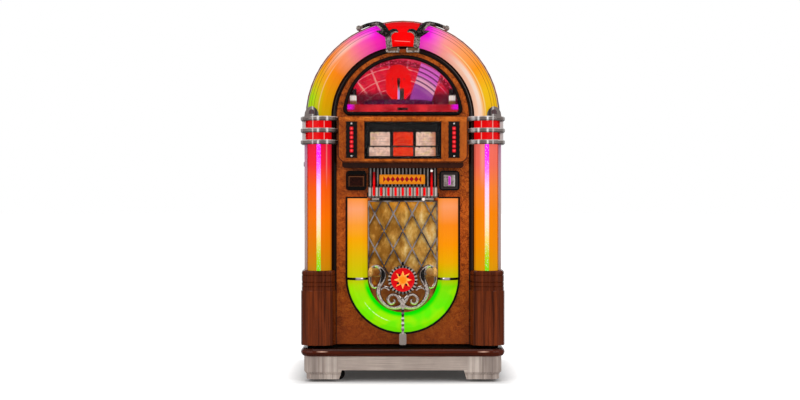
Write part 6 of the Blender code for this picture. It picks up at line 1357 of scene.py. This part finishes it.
scroll_finish, tree, shader = new_finish("scroll_chrome", 0.25, 0.6)
place, x, y, z = spot(tree)
metal = use(tree, casting, Soot=1.0, Bright=tone(184, 170, 160))
across = abs(x)
swell = -0.3110 - y
groove = between(swell, 0.0030, 0.0010, 0.0, 0.55)
colour = blended(groove, metal["Color"], tone(28, 20, 18))
drop = z - MEDALLION_HEIGHT
ring_far = distance(x, drop)
turned = bearing(drop, x)
tooth = zigzag(turned * (24 / math.tau), 0.5)
toothed = within(ring_far, 0.0500, 0.0625, 0.0004)
ticks = blended(between(tooth, 0.20, 0.30), tone(196, 184, 176), tone(10, 8, 8))
steep = between(abs(drop), 0.040, 0.058, 0.0, 0.7)
colour = blended(toothed, colour, blended(steep, ticks, tone(14, 10, 10)))
tipped = between(z, 0.4855, 0.4862) * between(across, 0.0120, 0.0110)
colour = blended(tipped, colour, tone(18, 13, 13))
ear = within(across, 0.1240, 0.1490, 0.001) * within(z, 0.4380, 0.4790, 0.002)
colour = blended(ear, colour, tone(214, 168, 98))
tab = between(z, 0.2005, 0.2000) * between(across, 0.0152, 0.0150)
ribs = noise(place, 330.0, 2.0)
hatch = zigzag(z + across, 0.0038)
hatched = blended(between(hatch, 0.0010, 0.0026), tone(84, 72, 66), tone(196, 184, 176))
colour = blended(tab, colour, hatched)
neck = within(z, 0.2010, 0.2262, 0.001) * between(across, 0.012, 0.011)
colour = blended(neck * 0.7, colour, tone(138, 118, 128))
band = within(z, 0.2700, 0.3020, 0.001) * between(across, 0.012, 0.011)
colour = blended(band * 0.8, colour, tone(20, 14, 16))
feed(shader, Base_Color=colour, Roughness=metal["Roughness"],
     Height=(metal["Height"] * 0.3 + tab * ribs, 0.0006))
dress(scroll_finish, "scroll_ornament")

BAND_PROFILE = ((-1.0, 0.0), (-0.94, 0.55), (-0.70, 0.92), (0.0, 1.0), (0.70, 0.92), (0.94, 0.55),
                (1.0, 0.0))


def relief_band(bm, path, back, rise):
    """A raised band along a path of x, z and half width, flat on top with sloped sides."""
    loops = []
    for step, (x, z, half) in enumerate(path):
        before = path[max(step - 1, 0)]
        ahead = path[min(step + 1, len(path) - 1)]
        run = Vector((ahead[0] - before[0], ahead[1] - before[1])).normalized()
        loop = []
        for share, lift in BAND_PROFILE:
            loop.append(bm.verts.new((x - run.y * half * share, back - rise * lift,
                                      z + run.x * half * share)))
        loops.append(loop)
    skin(bm, loops)
    bm.faces.new(loops[0])
    bm.faces.new(loops[-1])


def smoothed(path, parts=4):
    """The same path with rounded bends, run through all of its points."""
    out = []
    for step in range(len(path) - 1):
        a, b, c, d = (path[min(max(step + shift, 0), len(path) - 1)] for shift in (-1, 0, 1, 2))
        for part in range(parts):
            t = part / parts
            out.append(tuple(0.5 * (2 * q + (r - p) * t + (2 * p - 5 * q + 4 * r - s) * t * t
                                    + (3 * q - p - 3 * r + s) * t ** 3) for p, q, r, s in zip(a, b, c, d)))
    out.append(path[-1])
    return out


SCROLL_FACES = (((-0.1170, 0.4815, 0.0040), (-0.1085, 0.4835, 0.0062), (-0.0972, 0.4774, 0.0085),
                 (-0.0862, 0.4644, 0.0112), (-0.0807, 0.4491, 0.0130), (-0.0830, 0.4326, 0.0130),
                 (-0.0889, 0.4173, 0.0118), (-0.0965, 0.4020, 0.0104), (-0.1012, 0.3867, 0.0098),
                 (-0.1012, 0.3702, 0.0090), (-0.0962, 0.3537, 0.0083), (-0.0870, 0.3377, 0.0076),
                 (-0.0742, 0.3240, 0.0072), (-0.0583, 0.3135, 0.0070), (-0.0394, 0.3090, 0.0068),
                 (-0.0206, 0.3105, 0.0080), (-0.0040, 0.3171, 0.0105)),
                ((-0.1400, 0.4380, 0.0026), (-0.1394, 0.4244, 0.0026), (-0.1345, 0.4079, 0.0030),
                 (-0.1266, 0.3961, 0.0034), (-0.1155, 0.3930, 0.0040), (-0.1100, 0.3968, 0.0034)),
                ((-0.0905, 0.3842, 0.0030), (-0.0842, 0.3909, 0.0032), (-0.0748, 0.3926, 0.0034),
                 (-0.0640, 0.3885, 0.0036), (-0.0560, 0.3825, 0.0036)),
                ((-0.0030, 0.3300, 0.0080), (-0.0135, 0.3400, 0.0068), (-0.0220, 0.3555, 0.0058),
                 (-0.0345, 0.3640, 0.0054), (-0.0495, 0.3622, 0.0056), (-0.0592, 0.3520, 0.0060),
                 (-0.0602, 0.3385, 0.0062), (-0.0515, 0.3268, 0.0060), (-0.0392, 0.3290, 0.0052),
                 (-0.0338, 0.3385, 0.0040), (-0.0392, 0.3452, 0.0024)))
SCROLL_HOLLOW = ((-0.0935, 0.4745, 0.0016), (-0.0858, 0.4640, 0.0058), (-0.0812, 0.4510, 0.0082),
                 (-0.0828, 0.4372, 0.0080), (-0.0880, 0.4230, 0.0056), (-0.0930, 0.4115, 0.0018))
SCROLL_BACK = -0.3112

face_finish, tree, shader = new_finish("scroll_face", 0.35, 0.2, Emission_Strength=0.4)
place, x, y, z = spot(tree)
facing = outlook(tree)
# Painted shade: the sloped sides of each band are dark brown, and only the faces that look forward are
# silver.
flat = between(facing["Y"] * -1.0, 0.45, 0.90)
stipple = noise(place, 210.0, 4.0)
silver = blended(between(stipple, 0.38, 0.62), tone(128, 112, 104), tone(206, 194, 186))
colour = blended(flat, tone(46, 28, 22), silver)
outer = distance(x, z - U_CENTRE)
# Painted reflection: a green glow on the down-turned outer edges, from the lit U below.
glow = between(facing["Z"], -0.12, -0.40) * between(outer, 0.104, 0.112)
colour = blended(glow, colour, tone(190, 255, 84))
feed(shader, Base_Color=colour, Emission_Color=blended(glow, BLACK, tone(120, 220, 30)),
     Roughness=between(stipple, 0.3, 0.7, 0.25, 0.45), Height=(stipple, 0.0003))

hollow_finish, tree, shader = new_finish("scroll_hollow_black", 0.4)
place, x, y, z = spot(tree)
drawn = stretched(place, (420.0, 1.0, 60.0))
scrape = noise(drawn, 1.0, 3.0)
colour = blended(between(scrape, 0.58, 0.70, 0.0, 0.7), tone(10, 8, 8), tone(110, 100, 96))
feed(shader, Base_Color=colour, Roughness=between(scrape, 0.3, 0.7, 0.3, 0.5), Height=(scrape, 0.0003))

ear_finish, tree, shader = new_finish("scroll_ear_gilt", 0.3, 0.2)
place, x, y, z = spot(tree)
stipple = noise(place, 170.0, 4.0)
colour = blended(between(stipple, 0.36, 0.64), tone(196, 140, 66), tone(240, 190, 112))
feed(shader, Base_Color=colour, Roughness=between(stipple, 0.3, 0.7, 0.22, 0.4), Height=(stipple, 0.0003))

EAR_ASIDE = 0.1345
EAR_FRONT = -0.3150
EAR_HEIGHT = 0.4590
EAR_HALF_SIZE = (0.0098, 0.0110, 0.0195)

faces = bmesh.new()
hollows = bmesh.new()
ears = bmesh.new()
for side in (1, -1):
    for path in SCROLL_FACES:
        relief_band(faces, smoothed([(side * x, z, half) for x, z, half in path]), SCROLL_BACK, rise=0.0150)
    relief_band(hollows, smoothed([(side * x, z, half) for x, z, half in SCROLL_HOLLOW]), back=-0.3245,
                rise=0.0035)
    ball(ears, (side * -EAR_ASIDE, EAR_FRONT, EAR_HEIGHT), EAR_HALF_SIZE, around=20, rows=12)
relief_band(faces, [(0, 0.352, 0.0030), (0, 0.343, 0.0085), (0, 0.330, 0.0125), (0, 0.317, 0.0140),
                    (0, 0.307, 0.0090)], SCROLL_BACK, rise=0.0158)
piece_of(faces, "scroll_faces", face_finish, "door", False)
piece_of(hollows, "scroll_hollows", hollow_finish, "door", False)
piece_of(ears, "scroll_ears", ear_finish, "door")


def enamel_disc(radius, front, dome, corners=48):
    """A domed disc with a rolled rim."""
    profile = [(1.0, 0.0), (1.0, 0.0016), (0.97, 0.0024), (0.94, 0.0016), (0.92, 0.0006)]
    profile += [(share, 0.0006 + dome * (1 - share ** 2)) for share in (0.75, 0.55, 0.35, 0.15)]
    bm = bmesh.new()
    loops = []
    for share, lift in profile:
        loop = []
        for step in range(corners):
            way = math.tau * step / corners
            loop.append(bm.verts.new((radius * share * math.cos(way), front - lift,
                                      MEDALLION_HEIGHT + radius * share * math.sin(way))))
        loops.append(loop)
    skin(bm, loops)
    bm.faces.new(loops[-1])
    return bm


def star(outer, waist, front, tall):
    """An eight-pointed star, each ray raised to a ridge, with longer rays on the diagonals."""
    bm = bmesh.new()
    top = bm.verts.new((0, front - tall, MEDALLION_HEIGHT))
    rim = []
    base = []
    for step in range(16):
        way = math.tau * step / 16
        reach = waist if step % 2 else outer * (1.0 if step % 4 == 0 else 1.06)
        at = (reach * math.cos(way), MEDALLION_HEIGHT + reach * math.sin(way))
        rim.append(bm.verts.new((at[0], front - 0.0008, at[1])))
        base.append(bm.verts.new((at[0], front + 0.0010, at[1])))
    for step in range(16):
        after = (step + 1) % 16
        bm.faces.new((rim[step], rim[after], top))
        bm.faces.new((base[step], base[after], rim[after], rim[step]))
    return bm


PIT_REACH = (0.0190, 0.0295, 0.0012)
PIT_WIDTH = (0.105, 0.080)
PIT_TURN = 0.60

# Painted light: the enamel glows faintly.
enamel_finish, tree, shader = new_finish("enamel_red", 0.15, Specular_IOR_Level=0.1, Emission_Strength=0.18)
place, x, y, z = spot(tree)
drop = z - MEDALLION_HEIGHT
far = distance(x, drop)
spread = noise(place, 150.0, 3.0)
red = blended(spread, tone(226, 4, 10), tone(196, 0, 10))
turned = bearing(drop, x)
slant = zigzag(turned * (4 / math.tau) + PIT_TURN, 0.5)
hole = within(far, *PIT_REACH) * between(slant, *PIT_WIDTH)
red = blended(hole, red, tone(20, 6, 14))
feed(shader, Base_Color=red, Emission_Color=red, Roughness=between(spread, 0.3, 0.7, 0.1, 0.2),
     Height=(spread, 0.0002))
piece_of(enamel_disc(radius=0.0495, front=-0.3230, dome=0.0012), "enamel_medallion", enamel_finish, "door")

# Painted light: the star glows softly.
gilt_star, tree, shader = new_finish("star_gilt", 0.3, 0.3, Emission_Strength=0.3)
place, x, y, z = spot(tree)
grain_fine = noise(place, 240.0, 4.0)
drop = z - MEDALLION_HEIGHT
far = distance(x, drop)
rays = blended(between(grain_fine, 0.35, 0.65), tone(250, 150, 50), tone(255, 186, 96))
colour = blended(between(far, 0.012, 0.024), blended(grain_fine, tone(232, 96, 4), tone(252, 150, 24)),
                 rays)
quarter = bearing(drop, x) / (math.tau / 4)
slant = zigzag(quarter + PIT_TURN, 0.5)
pit = within(far, *PIT_REACH) * between(slant, *PIT_WIDTH)
colour = blended(pit, colour, tone(16, 8, 20))
feed(shader, Base_Color=colour, Emission_Color=colour, Roughness=between(grain_fine, 0.3, 0.7, 0.2, 0.4),
     Height=(grain_fine, 0.0002))
piece_of(star(outer=0.0375, waist=0.0190, front=-0.3248, tall=0.0040), "medallion_star", gilt_star, "door",
         False)

# Back, amplifier, speaker and lock. Out of sight: a painted hardboard cover with louvred vents
# and a socket for the cord, the amplifier on the baseboard, the loudspeaker behind the mesh, and
# the lock in the side.

cover_finish, tree, shader = new_finish("cover_paint", 0.6)
place, x, y, z = spot(tree)
fibre = noise(place, 340.0, 3.0)
scuff = noise(place, 9.0, 7.0, distortion=1.0)
colour = blended(between(scuff, 0.45, 0.75), tone(30, 24, 22), tone(58, 48, 42))
colour = blended(between(fibre, 0.5, 0.8, 0.0, 0.25), colour, tone(92, 76, 62))
inlet = within(x, -0.0155, 0.0155) * within(z, 0.2110, 0.2360)
colour = blended(inlet, colour, tone(9, 9, 9))
feed(shader, Base_Color=colour, Roughness=between(scuff, 0.3, 0.7, 0.5, 0.75), Height=(fibre, 0.0004))
dress(cover_finish, "rear_cover")

bm = bmesh.new()
for side in (-1, 1):
    for height in (0.20, 0.42, 0.64, 0.86, 1.08):
        domed_head(bm, (side * 0.385, -0.3500, height), radius=0.0055, height=0.0028,
                   turn=0.4 * height * side, slotted=True)
for vert in bm.verts:
    vert.co.y = -vert.co.y
piece_of(bm, "cover_screws", screw_finish, "cabinet_body")

amplifier_finish, tree, shader = new_finish("amplifier_steel", 0.4, 0.7)
marks = use(tree, handled, Smooth=0.35, Rough=0.55)
colour = blended(marks["Dulled"], tone(64, 64, 66), tone(104, 102, 100))
soiled = use(tree, dusty, Clean=colour, Reach=0.4)
feed(shader, Base_Color=soiled["Color"], Roughness=marks["Roughness"], Height=(marks["Height"], 0.0003))
dress(amplifier_finish, "amplifier")

speaker_finish, tree, shader = new_finish("speaker_cone", 0.8)
place, x, y, z = spot(tree)
drop = z - 0.525
far = distance(x, drop)
pleat = zigzag(far, 0.0032)
pulp = noise(place, 280.0, 4.0)
colour = blended(pulp, tone(26, 25, 25), tone(62, 60, 58))
colour = blended(between(far, 0.036, 0.040, 0.7, 0.0), colour, tone(14, 14, 14))
feed(shader, Base_Color=colour, Roughness=between(pulp, 0.3, 0.7, 0.65, 0.9),
     Height=(pleat * 300.0, 0.0006))
dress(speaker_finish, "speaker")

lock_finish, tree, shader = new_finish("lock_chrome", 0.2, 1.0)
place, x, y, z = spot(tree)
ahead = y + 0.215
rise = z - 0.911
far = distance(ahead, rise)
marks = use(tree, handled, Smooth=0.14, Rough=0.3)
keyhole = within(ahead, -0.0009, 0.0009, 0.0002) * within(rise, -0.0040, 0.0040, 0.0003)
colour = blended(marks["Dulled"], tone(176, 172, 168), tone(120, 116, 112))
colour = blended(within(far, 0.0058, 0.0064, 0.0002), colour, tone(50, 48, 46))
colour = blended(keyhole * between(x, -0.4105, -0.4110), colour, tone(12, 12, 12))
feed(shader, Base_Color=colour, Roughness=marks["Roughness"], Height=(marks["Height"], 0.0001))
dress(lock_finish, "side_lock")

# Studio. A pale floor that runs out to white, two tall soft boxes in front, one overhead, and a
# camera at half the jukebox's height, level and square to its front.


def studio_floor():
    """The floor, with the light of the white background on it away from the jukebox."""
    bm = bmesh.new()
    bmesh.ops.create_circle(bm, cap_ends=True, segments=64, radius=60.0)
    material, tree, shader = new_finish("studio_floor", 0.9, Specular_IOR_Level=0.0,
                                        Base_Color=(0.86, 0.86, 0.86, 1), Emission_Strength=1.0)
    place, x, y, z = spot(tree)
    aside = most(abs(x) - 0.40, 0.0)
    before = most(abs(y) - 0.33, 0.0)
    away = distance(aside, before)
    seen = Field(put(tree, "ShaderNodeLightPath").outputs["Is Camera Ray"])
    glow = between(away, 0.0, 0.13, 0.035, 0.75) * seen
    feed(shader, Emission_Color=blended(glow, BLACK, (1, 1, 1, 1)))
    solid_of(bm, "studio_floor", material, False)


def soft_box(name, place, width, height, power, target=(0, 0, 0.8)):
    """One area lamp turned towards the middle of the jukebox."""
    lamp = bpy.data.lights.new(name, "AREA")
    lamp.shape = "RECTANGLE"
    lamp.size = width
    lamp.size_y = height
    lamp.energy = power
    body = bpy.data.objects.new(name, lamp)
    body.location = place
    aim = [b - a for a, b in zip(place, target)]
    body.rotation_euler = Vector(aim).to_track_quat("-Z", "Y").to_euler()
    bpy.context.scene.collection.objects.link(body)


def white_room():
    """The world: white where it is seen or mirrored, and softer as light."""
    world = bpy.data.worlds.new("white_room")
    world.use_nodes = True
    tree = world.node_tree
    back = tree.nodes["Background"]
    back.inputs["Color"].default_value = (1, 1, 1, 1)
    path = fields(put(tree, "ShaderNodeLightPath").outputs)
    shown = most(path["Is Camera Ray"], path["Is Transmission Ray"])
    shown = most(shown, path["Is Glossy Ray"])
    feed(back.inputs, Strength=between(shown, 0.0, 1.0, 0.42, 1.0))
    bpy.context.scene.world = world


studio_floor()
white_room()
for word, side in (("left", -1), ("right", 1)):
    soft_box("lamp_" + word, (side * 2.6, -3.0, 2.2), width=1.2, height=2.2, power=40)
soft_box("lamp_over", (0, -1.4, 3.4), width=2.0, height=1.4, power=26)

camera = bpy.data.objects.new("camera", bpy.data.cameras.new("camera"))
camera.location = (-0.0117, -5.35, 0.7590)
camera.rotation_euler = (math.pi / 2, 0, 0)
camera.data.lens = 54.25
camera.data.sensor_width = 36.0
bpy.context.scene.collection.objects.link(camera)
bpy.context.scene.camera = camera
bpy.context.scene.view_settings.view_transform = "Standard"
